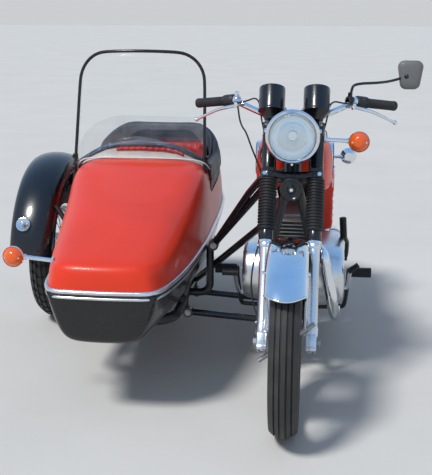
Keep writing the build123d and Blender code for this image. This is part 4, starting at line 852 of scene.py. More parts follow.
def sew(piece, depthAt):
    # Presses seams and channels in: depthAt(point, normal) gives the depth along the normal
    normals = [vert.normal.copy() for vert in piece.data.vertices]
    for vert, normal in zip(piece.data.vertices, normals):
        vert.co -= normal * depthAt(vert.co, normal)
    piece.data.update()


def groove(distance, width, depth):
    # Depth of a soft channel at a distance from its middle
    return depth * math.exp(-(distance / width) ** 2)


# Cockpit: a padded horseshoe wall, its grey lining, the roll over the cowl and the red upholstery
cockpitSet = {"midX": -0.616, "half": 0.272, "thick": 0.038, "rear": 1.428, "front": 0.874, "corner": 0.190,
              "low": 0.614, "top": 0.849, "archRadius": 0.135, "fall": 0.105, "fallFrom": 0.06,
              "fallLength": 0.20, "puff": 0.006, "cloth": 0.0015, "cushion": (0.416, 0.377, 0.107),
              "cushionPuff": 0.012, "channel": 0.052, "channelHalf": 0.17, "seam": 0.006, "fold": 0.0035,
              "pleat": 0.074, "liningLow": 0.51, "welt": 0.0032, "seamCord": 0.0028}


def horseshoe(inset, front, spacing=0.022):
    # Points of the wall's plan line with the outward direction, from the right front round to the left
    settings = cockpitSet
    half, rear = settings["half"] - inset, settings["rear"] - inset
    corner = settings["corner"] - inset
    points = []
    straight = max(2, round((rear - corner - front) / spacing))
    for index in range(straight):
        points.append((half, front + (rear - corner - front) * index / straight, 1.0, 0.0))
    arc = max(6, round(corner * 1.57 / spacing))
    for index in range(arc + 1):
        turn = math.pi / 2 * index / arc
        points.append((half - corner + corner * math.cos(turn), rear - corner + corner * math.sin(turn),
                       math.cos(turn), math.sin(turn)))
    back = max(3, round((half - corner) / spacing))
    for index in range(1, back):
        points.append(((half - corner) * (1 - index / back), rear, 0.0, 1.0))
    mirrored = [(-x, y, -outX, outY) for x, y, outX, outY in reversed(points)]
    return points + [(0.0, rear, 0.0, 1.0)] + mirrored


def wallTop(x, y):
    # Height of the wall's top edge at a distance from the middle and a bike station
    settings = cockpitSet
    radius = settings["archRadius"]
    past = abs(x) - (settings["half"] - radius)
    arch = settings["top"] - radius + math.sqrt(max(0.0, radius ** 2 - max(past, 0.0) ** 2))
    share = min(1.0, max(0.0, settings["rear"] - settings["fallFrom"] - y) / settings["fallLength"])
    return min(arch, settings["top"] - settings["fall"] * share * share * (3 - 2 * share))


def wallRow(station, section):
    # One cross-section of the wall: section holds pairs (outward offset, drop below the top edge or None)
    x, y, outX, outY = station
    top = wallTop(x, y)
    low = cockpitSet["low"]
    row = []
    for offset, drop in section:
        z = low if drop is None else max(low + 0.004, top - drop)
        row.append(onBike(cockpitSet["midX"] + x + outX * offset, y + outY * offset, z))
    return row


def makeCollar():
    settings = cockpitSet
    half = settings["thick"] / 2 - settings["puff"] * 0.7
    section = [(half, None), (half, 0.150), (half, 0.100), (half, 0.055), (half, 0.024), (0.82 * half, 0.010),
               (0.35 * half, 0.004), (-0.35 * half, 0.004), (-0.82 * half, 0.010), (-half, 0.024),
               (-half, 0.055), (-half, 0.100), (-half, 0.150), (-half, None)]
    rows = [wallRow(station, section) for station in horseshoe(settings["thick"] / 2, settings["front"])]
    mesh = bmesh.new()
    addRows(mesh, rows, closed=True)
    closeEnds(mesh)
    collar = newPiece("cockpitCollar", mesh, "blackVinyl", "root", ("cockpit_collar",),
                      sharp=70)
    puff(collar, 0.007, settings["puff"])

    # The lining is sewn in upright pleats and ends under a welt
    mesh = bmesh.new()
    stations = horseshoe(settings["thick"] + 0.002, settings["front"] + 0.004, 0.007)
    rows, travelled = [], 0.0
    before = stations[0]
    for station in stations:
        x, y, outX, outY = station
        travelled += math.hypot(x - before[0], y - before[1])
        before = station
        fold = settings["fold"] * abs(math.sin(math.pi * travelled / settings["pleat"])) ** 0.5
        top = wallTop(x, y) - 0.020
        heights = [top + 0.004]
        heights += [top - share * (top - settings["liningLow"]) for share in (0.0, 0.05, 0.3, 0.6, 0.85, 1.0)]
        depths = (0.0, 0.6, 1.0, 1.0, 1.0, 1.0, 0.8)
        rows.append([onBike(settings["midX"] + x - outX * fold * depth, y - outY * fold * depth, z)
                     for z, depth in zip(heights, depths)])
    addRows(mesh, rows)
    lining = newPiece("cockpitLining", mesh, "greyVinyl", "root", sharp=60)
    thicken(lining, settings["cloth"])

    mesh = bmesh.new()
    welt = [wallRow(station, [(0.0, 0.016)])[0]
            for station in horseshoe(settings["thick"], settings["front"] + 0.01)]
    addTube(mesh, welt, settings["welt"])
    seam = [wallRow(station, [(0.0, 0.040)])[0] for station in horseshoe(-0.001, settings["front"] + 0.01)]
    addTube(mesh, seam, settings["seamCord"])
    newPiece("collarPiping", mesh, "blackVinyl", "root")


rollSet = {"radius": 0.0125, "arch": ((0.258, 0.864, 0.743), (0.2322, 0.850, 0.759), (0.1935, 0.834, 0.7828),
                                      (0.1445, 0.824, 0.8083), (0.0877, 0.817, 0.8186), (0.0, 0.812, 0.822)),
           "apronHalf": 0.252, "foot": 0.767, "gatherFrom": -0.10, "gatherTo": 0.17, "gatherCloth": 0.001,
           "folds": 11}


def rollAt(x):
    # Station and height of the roll's middle line at a distance from the body's middle
    arch = rollSet["arch"]
    for outer, inner in zip(arch, arch[1:]):
        if abs(x) >= inner[0]:
            share = min(1.0, (abs(x) - inner[0]) / (outer[0] - inner[0]))
            return [inner[axis] + (outer[axis] - inner[axis]) * share for axis in (1, 2)]


def makeRoll():
    mesh = bmesh.new()
    addTube(mesh, bothSides(rollSet["arch"], cockpitSet["midX"]), rollSet["radius"], 0, 6, 3, False, 10)
    roll = newPiece("cowlRoll", mesh, "greyVinyl", "root", ("cockpit_roll",))
    puff(roll, 0.004, 0.003)
    # Gathered red cloth shows under the roll, and a pale apron covers the step down to the bonnet
    settings = rollSet
    middle = cockpitSet["midX"]
    rows = []
    for index in range(97):
        x = settings["apronHalf"] * (index / 48 - 1)
        y, high = rollAt(x)
        foot = min(high - 0.004, settings["foot"] - 0.034 * (abs(x) / settings["apronHalf"]) ** 5)
        rows.append([onBike(middle + x, y - back, high + (foot - high) * share)
                     for back, share in ((0.006, 0.0), (0.008, 0.3), (0.012, 0.7), (0.020, 0.97),
                                         (0.024, 1.0))])
    mesh = bmesh.new()
    addRows(mesh, rows)
    apron = newPiece("cowlApron", mesh, "paleVinyl", "root", sharp=60)
    thicken(apron, cockpitSet["cloth"])
    mesh = bmesh.new()
    rows = []
    for index in range(133):
        share = index / 132
        x = settings["gatherFrom"] + (settings["gatherTo"] - settings["gatherFrom"]) * share
        y, high = rollAt(x)
        fold = 0.0026 * math.sin(share * math.pi * settings["folds"] * 2)
        rows.append(bikeLine((middle + x, y - 0.006, high - 0.004),
                             (middle + x, y - 0.012 + fold, high - 0.010),
                             (middle + x, y - 0.014 + fold, high - 0.016),
                             (middle + x, y - 0.012, high - 0.022)))
    addRows(mesh, rows)
    gather = newPiece("cowlGather", mesh, "redVinyl", "root", sharp=60)
    thicken(gather, settings["gatherCloth"])
    # A white tube along the bonnet's rear edge: painted highlight of that edge
    mesh = bmesh.new()
    edge = [(0.2715, 0.842, 0.722), (0.262, 0.826, 0.742), (0.235, 0.812, 0.7605), (0.18, 0.802, 0.7675),
            (0.10, 0.795, 0.770), (0.0, 0.790, 0.7715)]
    addTube(mesh, bothSides(edge, middle), 0.0028, 0)
    newPiece("cowlEdgeHighlight", mesh, "plateWhite", "root")


def makeUpholstery():
    # Cushion and backrest with sewn channels running fore and aft
    settings = cockpitSet
    middle = bikeX + settings["midX"]
    # The cushion is a bevelled box that the simulation swells
    mesh = bmesh.new()
    swell = settings["cushionPuff"]
    addBox(mesh, [side - swell * 1.2 for side in settings["cushion"]],
           atBike(settings["midX"], 1.1035, 0.4515), 0.024, 0, 4)
    cushion = newPiece("sidecarCushion", mesh, "redVinyl", "root", ("sidecar_cushion",),
                       sharp=80)
    puff(cushion, 0.006, swell)

    def channel(point, facing):
        across = (point.x - middle) / settings["channel"]
        nearest = abs(across - round(across)) * settings["channel"]
        sewn = facing and abs(point.x - middle) < settings["channelHalf"]
        return groove(nearest, settings["seam"], settings["seam"]) if sewn else 0.0

    sew(cushion, lambda point, normal: channel(point, normal.z > 0.5))
    mesh = bmesh.new()
    rows = []
    outline = [(0.204, 1.272), (0.208, 1.300), (0.196, 1.338), (0.160, 1.366), (0.110, 1.376), (0.0, 1.378)]
    for x, y in outline + [(-x, y) for x, y in reversed(outline[:-1])]:
        rows.append([onBike(cockpitSet["midX"] + x, y, z) for z in (0.404, 0.50, 0.60, 0.70, 0.748)]
                    + [onBike(cockpitSet["midX"] + x * 0.94, y - 0.016, 0.762)]
                    + [onBike(cockpitSet["midX"] + x * 0.84, max(1.290, y - 0.05), z)
                       for z in (0.764, 0.752, 0.69, 0.60, 0.53, 0.46, 0.404)])
    addRows(mesh, rows, closed=True)
    closeEnds(mesh)
    back = newPiece("sidecarBackrest", mesh, "redVinyl", "root", ("sidecar_backrest",), sharp=80)
    puff(back, 0.006, 0.008)
    sew(back, lambda point, normal: channel(point, normal.y < -0.4))


makeCollar()
makeRoll()
makeUpholstery()
print("cockpit made")


# Windscreen: a bowed sheet in a black hoop
screenSet = {"foot": (-0.628, 0.760, 0.722), "lean": 15, "bow": 0.620, "footHalf": 0.281,
             "shoulderHalf": 0.269, "top": 0.486, "hoop": 0.013, "corner": 0.120, "arch": 0.117,
             "side": 0.006, "sheet": 0.003}


def screenPoint(across, up, off=0.0):
    # A point on the bowed sheet; off is counted outwards from the sheet
    lean = math.radians(screenSet["lean"])
    radius = screenSet["bow"] + off
    turn = across / screenSet["bow"]
    back = screenSet["bow"] - radius * math.cos(turn)
    x = radius * math.sin(turn)
    y = back * math.cos(lean) + up * math.sin(lean)
    return onBike(*screenSet["foot"]) + Vector((x, y, up * math.cos(lean) - back * math.sin(lean)))


def hoopLine(inset, low):
    settings = screenSet
    corner, top = settings["corner"] - inset, settings["top"] - inset
    half = settings["shoulderHalf"] - inset
    foot = settings["footHalf"] - inset
    low = [(foot + (half - foot) * share, low + (top - corner - low) * share)
           for share in (0, 0.25, 0.5, 0.75, 1)]
    side = low + arcPoints((half - corner, top - corner), corner, 0, 90, 7)[1:]
    side += [((half - corner) * share, top) for share in (0.6, 0.2)]
    return side + [(-x, up) for x, up in reversed(side)]


def makeWindscreen():
    settings = screenSet
    mesh = bmesh.new()
    inset = settings["hoop"] / 2
    line = [screenPoint(x, up) for x, up in hoopLine(inset, -0.03)]
    addTube(mesh, line, inset, 0, 5, 4, False, 8)
    for side in (-1, 1):
        # Clamps hold both legs on the body's shoulder
        for up in (0.012, 0.062):
            centre = screenPoint(side * (settings["footHalf"] - inset - 0.001), up)
            addRod(mesh, centre - lifted(0.010), centre + lifted(0.010), 0.0105)
            addBolt(mesh, centre + Vector((side * 0.006, -0.008, 0)), (side * 0.5, -0.85, 0), 0.0045, 0.005)
        end = line[0 if side > 0 else -1]
        addRod(mesh, end, end + Vector((-side * 0.006, -0.006, -0.040)), 0.009)
    newPiece("windscreenHoop", mesh, "blackPaint", "root", ("windscreen_hoop",))
    # The sheet's lower edge arches over the roll
    mesh = bmesh.new()
    rows = []
    corner, top = settings["corner"] - inset, settings["top"] - inset
    half, foot = settings["shoulderHalf"] - inset, settings["footHalf"] - inset
    for column in range(29):
        across = math.sin(math.pi / 2 * (column / 14 - 1))
        low = settings["arch"] - (settings["arch"] - settings["side"]) * across ** 2
        past = max(0.0, abs(across) * half - half + corner)
        high = top - corner + math.sqrt(max(0.0, corner ** 2 - past ** 2))
        row = []
        for step in range(15):
            up = low + (high - low) * step / 14
            width = foot + (half - foot) * min(1.0, up / (top - corner))
            row.append(screenPoint(across * width, up))
        rows.append(row)
    addRows(mesh, rows)
    sheet = newPiece("windscreenSheet", mesh, "screenGlass", "root", ("windscreen_sheet",),
                     sharp=80)
    thicken(sheet, settings["sheet"], 0)


makeWindscreen()
print("windscreen made")


# Headlight, instruments and horn
lampSet = {"ahead": 0.125, "height": 0.654, "rim": 0.0895, "depth": 0.112, "flutes": 18, "glass": 0.003,
           "cells": 72, "flute": 0.0015, "bar": 0.0008, "ring": 0.0016, "ringAt": 0.55, "ringWidth": 0.035,
           "dome": 0.013}
lampAt = onLegs(0, -lampSet["ahead"], lampSet["height"])
lampFrame = basis(lampAt, ahead, forkSide)


def makeHeadlight():
    rim, depth = lampSet["rim"], lampSet["depth"]
    mesh = bmesh.new()
    bowl = rim - 0.006
    addTurned(mesh, [(0.0, -depth + 0.002), (0.22 * bowl, -depth), (0.5 * bowl, -0.9 * depth),
                     (0.77 * bowl, -0.7 * depth), (0.94 * bowl, -0.45 * depth), (bowl, -0.022),
                     (bowl, -0.012), (bowl - 0.003, -0.012), (bowl - 0.003, -0.022),
                     (0.90 * bowl, -0.45 * depth), (0.0, -0.9 * depth)], lampFrame)
    # Chrome rim with a rolled front edge and its clamp screw
    addTurned(mesh, [(bowl + 0.001, -0.022), (rim - 0.001, -0.020), (rim, -0.014), (rim, -0.004),
                     (rim - 0.002, 0.002), (rim - 0.006, 0.005), (rim - 0.010, 0.003), (rim - 0.0115, -0.002),
                     (rim - 0.009, -0.006)],
              lampFrame, 96, 1)
    addRod(mesh, lampFrame @ Vector((0, -rim - 0.001, -0.016)), lampFrame @ Vector((0, -rim - 0.001, 0.002)),
           0.004, 1)
    # Reflector, bulb shade and parking bulb behind the glass
    inner = rim - 0.011
    addTurned(mesh, [(inner, -0.004), (inner * 0.98, -0.010), (inner * 0.88, -0.028), (inner * 0.7, -0.046),
                     (inner * 0.45, -0.060), (0.014, -0.067), (0.012, -0.060), (0.0, -0.060)],
              lampFrame, 64, 2)
    addTurned(mesh, [(0.0, -0.018), (0.014, -0.020), (0.017, -0.030), (0.016, -0.034), (0.0, -0.034)],
              lampFrame, 32, 2)
    newPiece("headlight", mesh, ("blackPaint", "chromePlate", "reflector"), "steering",
             ("headlight_bowl",))
    # Glass with upright flutes, bars across its middle and a moulded ring
    part = bmesh.new()
    size = rim - 0.0105
    bmesh.ops.create_grid(part, x_segments=lampSet["cells"], y_segments=lampSet["cells"], size=size)
    outside = [vert for vert in part.verts if math.hypot(vert.co.x, vert.co.y) > size]
    bmesh.ops.delete(part, geom=outside, context="VERTS")
    for vert in part.verts:
        x, y = vert.co.x / size, vert.co.y / size
        reach = min(1.0, math.hypot(x, y))
        relief = 0.0
        if reach < 0.9:
            relief += lampSet["flute"] * abs(math.sin(x * math.pi * lampSet["flutes"] / 2))
        if abs(y) < 0.34:
            relief += lampSet["bar"] * abs(math.sin(y * math.pi * 9))
        relief += lampSet["ring"] * math.exp(-((reach - lampSet["ringAt"]) / lampSet["ringWidth"]) ** 2)
        vert.co.z = lampSet["dome"] * (1 - reach ** 2.2) + relief
    for vert in [vert for vert in part.verts if vert.is_boundary]:
        reach = math.hypot(vert.co.x, vert.co.y)
        vert.co.x *= size / reach
        vert.co.y *= size / reach
        vert.co.z = 0.0
    mesh = bmesh.new()
    mergeInto(mesh, part, lampFrame)
    lens = newPiece("headlightLens", mesh, "lampGlass", "steering", ("headlight_lens",),
                    sharp=80)
    thicken(lens, lampSet["glass"])


clockSet = {"x": 0.075, "ahead": 0.049, "top": 0.852, "radius": 0.0445, "length": 0.084, "marks": 21,
            "scaleFrom": -220, "scale": 260, "hand": -200}


def clockFrame(side):
    return basis(onLegs(side * clockSet["x"], -clockSet["ahead"], 0), forkUp, forkSide)


def makeInstruments():
    mesh = bmesh.new()
    radius, top, low = clockSet["radius"], clockSet["top"], clockSet["top"] - clockSet["length"]
    for side in (-1, 1):
        placing = clockFrame(side)
        # The cup widens to a skirt above the tapered foot
        addTurned(mesh, [(0.0, 0.736), (0.022, 0.737), (0.0235, 0.740), (0.0245, 0.744), (0.034, 0.757),
                         (radius - 0.002, low - 0.002), (radius + 0.0015, low),
                         (radius + 0.0015, low + 0.002), (radius, low + 0.007),
                         (radius - 0.0005, low + 0.010), (radius, top - 0.004), (radius - 0.0015, top),
                         (radius - 0.005, top), (radius - 0.0065, top - 0.002),
                         (radius - 0.0065, top - 0.005)], placing, 72, 1)
        # Dial, chrome ring, pointer and its cap under the glass
        addTurned(mesh, [(0.0, top - 0.010), (radius - 0.0066, top - 0.010), (radius - 0.0066, top - 0.006)],
                  placing, 72, 1)
        addTurned(mesh, [(radius - 0.008, top - 0.006), (radius - 0.0066, top - 0.003),
                         (radius - 0.0055, top - 0.001), (radius - 0.0045, top - 0.0015)], placing, 72, 2)
        steps = clockSet["marks"] - 1
        bars = [(clockSet["scaleFrom"] + clockSet["scale"] * index / steps, 0.0035 if index % 2 else 0.006)
                for index in range(steps + 1)]
        bars = [(degrees, (length, 0.0011, 0.0006), 0.034 - length / 2, top - 0.0097, 3)
                for degrees, length in bars]
        bars.append((clockSet["hand"], (0.032, 0.0014, 0.0006), 0.012, top - 0.0085, 4))
        for degrees, size, reach, height, material in bars:
            turn = math.radians(degrees)
            place = Matrix.Translation(polar(reach, turn, height)) @ Matrix.Rotation(turn, 4, "Z")
            addBox(mesh, size, placing @ place, 0, material)
        addTurned(mesh, [(0.0, top - 0.0065), (0.004, top - 0.007), (0.0045, top - 0.0098)], placing, 24, 0)
        for slot in (-1, 1):
            addBolt(mesh, onLegs(side * clockSet["x"] + slot * 0.016, 0.018 - clockSet["ahead"], 0.741),
                    -forkUp, 0.004, 0.004, 2)
    newPiece("instruments", mesh, ("blackPlastic", "blackPaint", "chromePlate", "plateWhite", "orangeLens"),
             "steering", ("instruments",))
    mesh = bmesh.new()
    for side in (-1, 1):
        placing = clockFrame(side)
        addTurned(mesh, [(0.0, top - 0.0020), (0.020, top - 0.0022), (radius - 0.0068, top - 0.0038),
                         (radius - 0.0068, top - 0.0050), (0.0, top - 0.0035)], placing, 48, 0)
    newPiece("instrumentGlass", mesh, "screenGlass", "steering")


hornSet = {"place": (0, -0.046, 0.497), "radius": 0.039, "depth": 0.030, "rings": 7, "ring": 0.0026,
           "screws": 6, "screwFrom": 15}


def makeHorn():
    mesh = bmesh.new()
    radius, depth = hornSet["radius"], hornSet["depth"]
    placing = basis(onLegs(*hornSet["place"]), ahead, forkSide)
    shell = [(0.0, -depth), (radius - 0.010, 0.001 - depth), (radius, -0.014), (radius, -0.006),
             (radius - 0.003, -0.003), (radius - 0.008, -0.0025)]
    rings = [(radius - 0.008 - hornSet["ring"] * index, -0.003 - 0.0012 * (index % 2))
             for index in range(1, hornSet["rings"] + 1)]
    addTurned(mesh, shell + rings + [(0.012, -0.004)], placing, 64, 0)
    addTurned(mesh, [(0.012, -0.005), (0.0125, -0.001), (0.009, 0.001), (0.004, 0.0015), (0.0, 0.0015)],
              placing, 32, 0)
    addBolt(mesh, placing @ Vector((0.0, 0.0, 0.0015)), ahead, 0.0042, 0.003, 1)
    for index in range(hornSet["screws"]):
        turn = math.radians(360 / hornSet["screws"] * index + hornSet["screwFrom"])
        addBolt(mesh, placing @ polar(radius - 0.004, turn, -0.0035), ahead, 0.0025, 0.003, 0)
    addRod(mesh, onLegs(0, -0.026, 0.507), onLegs(0, 0.004, 0.551), 0.008, 0)
    newPiece("hornPiece", mesh, ("blackPaint", "chromePlate"), "steering", ("horn",))


makeHeadlight()
makeInstruments()
makeHorn()
print("lamp, instruments and horn made")


# Handlebar controls
gripSet = {"end": (0.342, 0.114, 0.857), "knee": (0.203, 0.030, 0.838), "length": 0.120, "bar": 0.0112,
           "radius": 0.0165, "rib": 0.0012, "ribs": 12, "pitch": 0.0085, "housing": 0.0215}
barEnds, barKnees = ({side: onLegs(side * u, v, w) for side in (-1, 1)}
                     for u, v, w in (gripSet["end"], gripSet["knee"]))
gripDirections = {side: (barEnds[side] - barKnees[side]).normalized() for side in (-1, 1)}


def alongGrip(side, distance):
    return barEnds[side] - gripDirections[side] * distance


def addClamp(mesh, place, direction, outer, material=0):
    # A ring round the bar
    half = [(gripSet["bar"], -0.009), (outer - 0.001, -0.009), (outer, -0.007)]
    addTurned(mesh, half + [(r, -z) for r, z in reversed(half)], basis(place, direction, (0, 0, 1)), 36,
              material)


def makeGrips():
    bar, radius, outer = gripSet["bar"], gripSet["radius"], gripSet["housing"]
    mesh = bmesh.new()
    for side in (-1, 1):
        placing = basis(alongGrip(side, gripSet["length"]), gripDirections[side], (0, 0, 1))
        profile = [(bar, 0.0), (0.0195, 0.0), (0.0205, 0.002), (0.0205, 0.005), (radius, 0.008)]
        for index in range(gripSet["ribs"]):
            base, root = 0.012 + index * gripSet["pitch"], radius - gripSet["rib"]
            profile += [(radius, base), (root, base + 0.0012), (root, base + 0.0028), (radius, base + 0.004)]
        profile += [(0.0172, 0.119), (0.0172, 0.124), (0.0155, 0.128), (0.006, 0.1285), (0.0, 0.1285)]
        addTurned(mesh, profile, placing, 40)
        # Housing in two halves with its joint and screws
        housing = [(bar, -0.037), (outer - 0.002, -0.037), (outer, -0.034), (outer, -0.020),
                   (outer - 0.001, -0.019), (outer - 0.001, -0.018), (outer, -0.017), (outer, -0.003),
                   (outer - 0.002, -0.0005), (bar, -0.0005)]
        addTurned(mesh, housing, placing, 40, 1)
        for offset in (-0.028, -0.009):
            addBolt(mesh, placing @ Vector((-0.0205, 0.0, offset)), lifted(-1), 0.003, 0.003, 2)
        # Switches on the inner face
        inward = placing @ Matrix.Translation((0.004, -0.0205 if side > 0 else 0.0205, -0.018))
        addBox(mesh, (0.020, 0.010, 0.028), inward, 0.002, 1)
        addBox(mesh, (0.006, 0.016, 0.006), inward, 0.001, 2)
    newPiece("gripsPiece", mesh, ("bellowsRubber", "blackPlastic", "bareSteel"), "steering",
             ("grips",))


leverSet = {"bracket": 0.166, "reach": 0.034, "drop": 0.014, "blade": 0.0056, "ball": 0.008, "clamp": 0.0175}


def makeLevers():
    mesh = bmesh.new()
    forward, down = ahead * leverSet["reach"], lifted(-leverSet["drop"])
    for side in (-1, 1):
        bracket = alongGrip(side, leverSet["bracket"])
        pivot = bracket + forward * 0.8 + down
        knee = alongGrip(side, 0.090) + forward * 1.5 + down * 1.6
        tip = alongGrip(side, -0.008) + forward * 0.9 + lifted(-0.054)
        direction = gripDirections[side]
        addClamp(mesh, bracket, direction, leverSet["clamp"])
        addBolt(mesh, bracket - ahead * 0.017, -ahead, 0.004, 0.006, 1)
        addRod(mesh, bracket + forward * 0.3, pivot, 0.0085)
        addRod(mesh, pivot - lifted(0.010), pivot + lifted(0.010), 0.0085)
        addBolt(mesh, pivot + lifted(0.010), (0, 0, 1), 0.0045, 0.004, 1)
        blade = [pivot - direction * 0.010, pivot.lerp(knee, 0.5) + ahead * 0.004, knee, knee.lerp(tip, 0.55),
                 tip]
        addTube(mesh, blade, leverSet["blade"], 0, 5, 3, False, 10, [0.9, 1.1, 0.95, 0.85, 0.95])
        addBall(mesh, tip, leverSet["ball"], 24, 14)
        # Cable adjuster
        inwardEnd = pivot - direction * 0.030 - lifted(0.002)
        addRod(mesh, pivot - direction * 0.012, inwardEnd, 0.0045, 1)
        addRod(mesh, pivot - direction * 0.016, pivot - direction * 0.022, 0.0065, 1, 12)
        # The mirror's empty boss on the right
        if side < 0:
            addTurned(mesh, [(0.005, 0.014), (0.005, 0.030), (0.0085, 0.030), (0.009, 0.029), (0.009, 0.0)],
                      basis(bracket, (0, 0, 1)), 32)
    newPiece("leversPiece", mesh, ("chromePlate", "bareSteel"), "steering", ("levers",))


mirrorSet = {"reach": (0.211, 0.118, 0.0825), "width": 0.088, "height": 0.100, "thick": 0.022,
             "corner": 0.022, "narrow": 0.0083, "clampAt": 0.182, "clamp": 0.018, "stalk": 0.0048}


def makeMirror():
    mesh = bmesh.new()
    width, height, thick = mirrorSet["width"], mirrorSet["height"], mirrorSet["thick"]
    foot = alongGrip(1, mirrorSet["clampAt"])
    centre = foot + Vector(mirrorSet["reach"])

    def headRow(scale, y):
        # The head's outline, narrower below
        corner = mirrorSet["corner"]
        points = []
        for signX, signZ, start in corners:
            half = width / 2 - (mirrorSet["narrow"] if signZ < 0 else 0)
            middle = (signX * (half - corner), signZ * (height / 2 - corner))
            for x, z in arcPoints(middle, corner, start, start + 90, 5):
                points.append(centre + Vector((x * scale, y, z * scale)))
        return points

    rows = [headRow(0.30, -thick / 2), headRow(0.62, -thick / 2 + 0.0012), headRow(0.86, -thick / 2 + 0.004),
            headRow(0.97, -0.002), headRow(1.0, 0.004), headRow(1.0, thick / 2 - 0.002),
            headRow(0.97, thick / 2), headRow(0.93, thick / 2), headRow(0.92, thick / 2 - 0.003)]
    addRows(mesh, rows, closed=True)
    front = [edge for edge in mesh.edges if edge.is_boundary and edge.verts[0].co.y < centre.y]
    bmesh.ops.holes_fill(mesh, edges=front, sides=0)
    glass = bmesh.new()
    ring = [glass.verts.new(point) for point in headRow(0.925, thick / 2 - 0.0025)]
    glass.faces.new(ring)
    mergeInto(mesh, glass, None, 1)
    addTube(mesh, [foot + lifted(0.006), foot + Vector((0.004, 0, 0.040)), foot + Vector((0.014, 0, 0.060)),
                   foot.lerp(centre, 0.5) + lifted(0.018), centre + Vector((-0.050, 0, -0.018)),
                   centre + Vector((-0.012, 0, -0.004))], mirrorSet["stalk"], 2, 5, 3, False, 10)
    addClamp(mesh, foot, gripDirections[1], mirrorSet["clamp"], 2)
    addRod(mesh, foot + lifted(0.012), foot + Vector((0.001, 0, 0.030)), 0.0085, 2, 6)
    addBall(mesh, centre + Vector((-0.014, -0.006, -0.004)), 0.009, 20, 12, 2)
    newPiece("mirrorPiece", mesh, ("mirrorShell", "chromePlate", "blackPaint"), "steering",
             ("mirror",))


makeGrips()
makeLevers()
makeMirror()
print("handlebar controls made")


# Indicators and small lamps, turned about the way they face
indicatorSet = {"rim": 0.036, "ribs": 9, "pitch": 0.0016, "lens": 0.0338, "narrowing": 0.0009, "stalk": 0.007}


def addIndicator(mesh, centre, facing, root):
    # Chrome, the first finish, holds an orange lens, the second
    rim, stalk = indicatorSet["rim"], indicatorSet["stalk"]
    back = Vector(centre) - Vector(facing) * 0.012
    placing = basis(back, facing, (0, 0, 1))
    addTurned(mesh, [(0.0, -0.028), (0.018, -0.028), (0.020, -0.026), (rim - 0.005, -0.014),
                     (rim - 0.0008, -0.007), (rim, -0.004), (rim, 0.0015), (rim - 0.0015, 0.003),
                     (rim - 0.0025, 0.001)], placing, 48)
    ribs = []
    for index in range(indicatorSet["ribs"]):
        height = 0.001 + index * indicatorSet["pitch"]
        radius = indicatorSet["lens"] - indicatorSet["narrowing"] * index ** 1.1
        ribs += [(radius, height), (radius - 0.0008, height + 0.0008)]
    addTurned(mesh, ribs + [(0.0215, 0.0185), (0.016, 0.0222), (0.009, 0.0237), (0.0, 0.024)], placing, 48, 1)
    for side in (-1, 1):
        addBolt(mesh, placing @ Vector((0.0, side * 0.023, 0.0165)), facing, 0.0025, 0.003)
    end = back - Vector(facing) * 0.014
    along = (end - root).normalized()
    addRod(mesh, root, end, stalk)
    addRod(mesh, root, root + along * 0.008, stalk + 0.005, 0, 6)
    addRod(mesh, end - along * 0.040, end - along * 0.030, stalk + 0.0025)


def makeIndicators():
    mesh = bmesh.new()
    root = onLegs(legSide + 0.023, 0, 0.690)
    addIndicator(mesh, root + Vector((0.119, -0.009, -0.0065)), (0, -1, 0), root)
    newPiece("frontIndicator", mesh, ("chromePlate", "orangeLens"), "steering",
             ("front_indicator", "front_indicator_lens"))


makeIndicators()
print("indicators made")


# Fork: cast legs, ribbed bellows, upper covers and yokes
forkSet = {"leg": 0.020, "legTop": 0.334, "bellowsLow": 0.371, "bellowsHigh": 0.549, "rib": 0.031,
           "ribRoot": 0.026, "ribs": 17, "cover": 0.025, "topYoke": 0.734, "yoke": 0.022, "yokeRadius": 0.027,
           "axle": 0.0075, "drum": 0.084, "plateFrom": 0.046, "plateRibs": 12, "bar": 0.011}


def legFrame(side):
    return basis(onLegs(side * legSide, 0, 0), forkUp, forkSide)


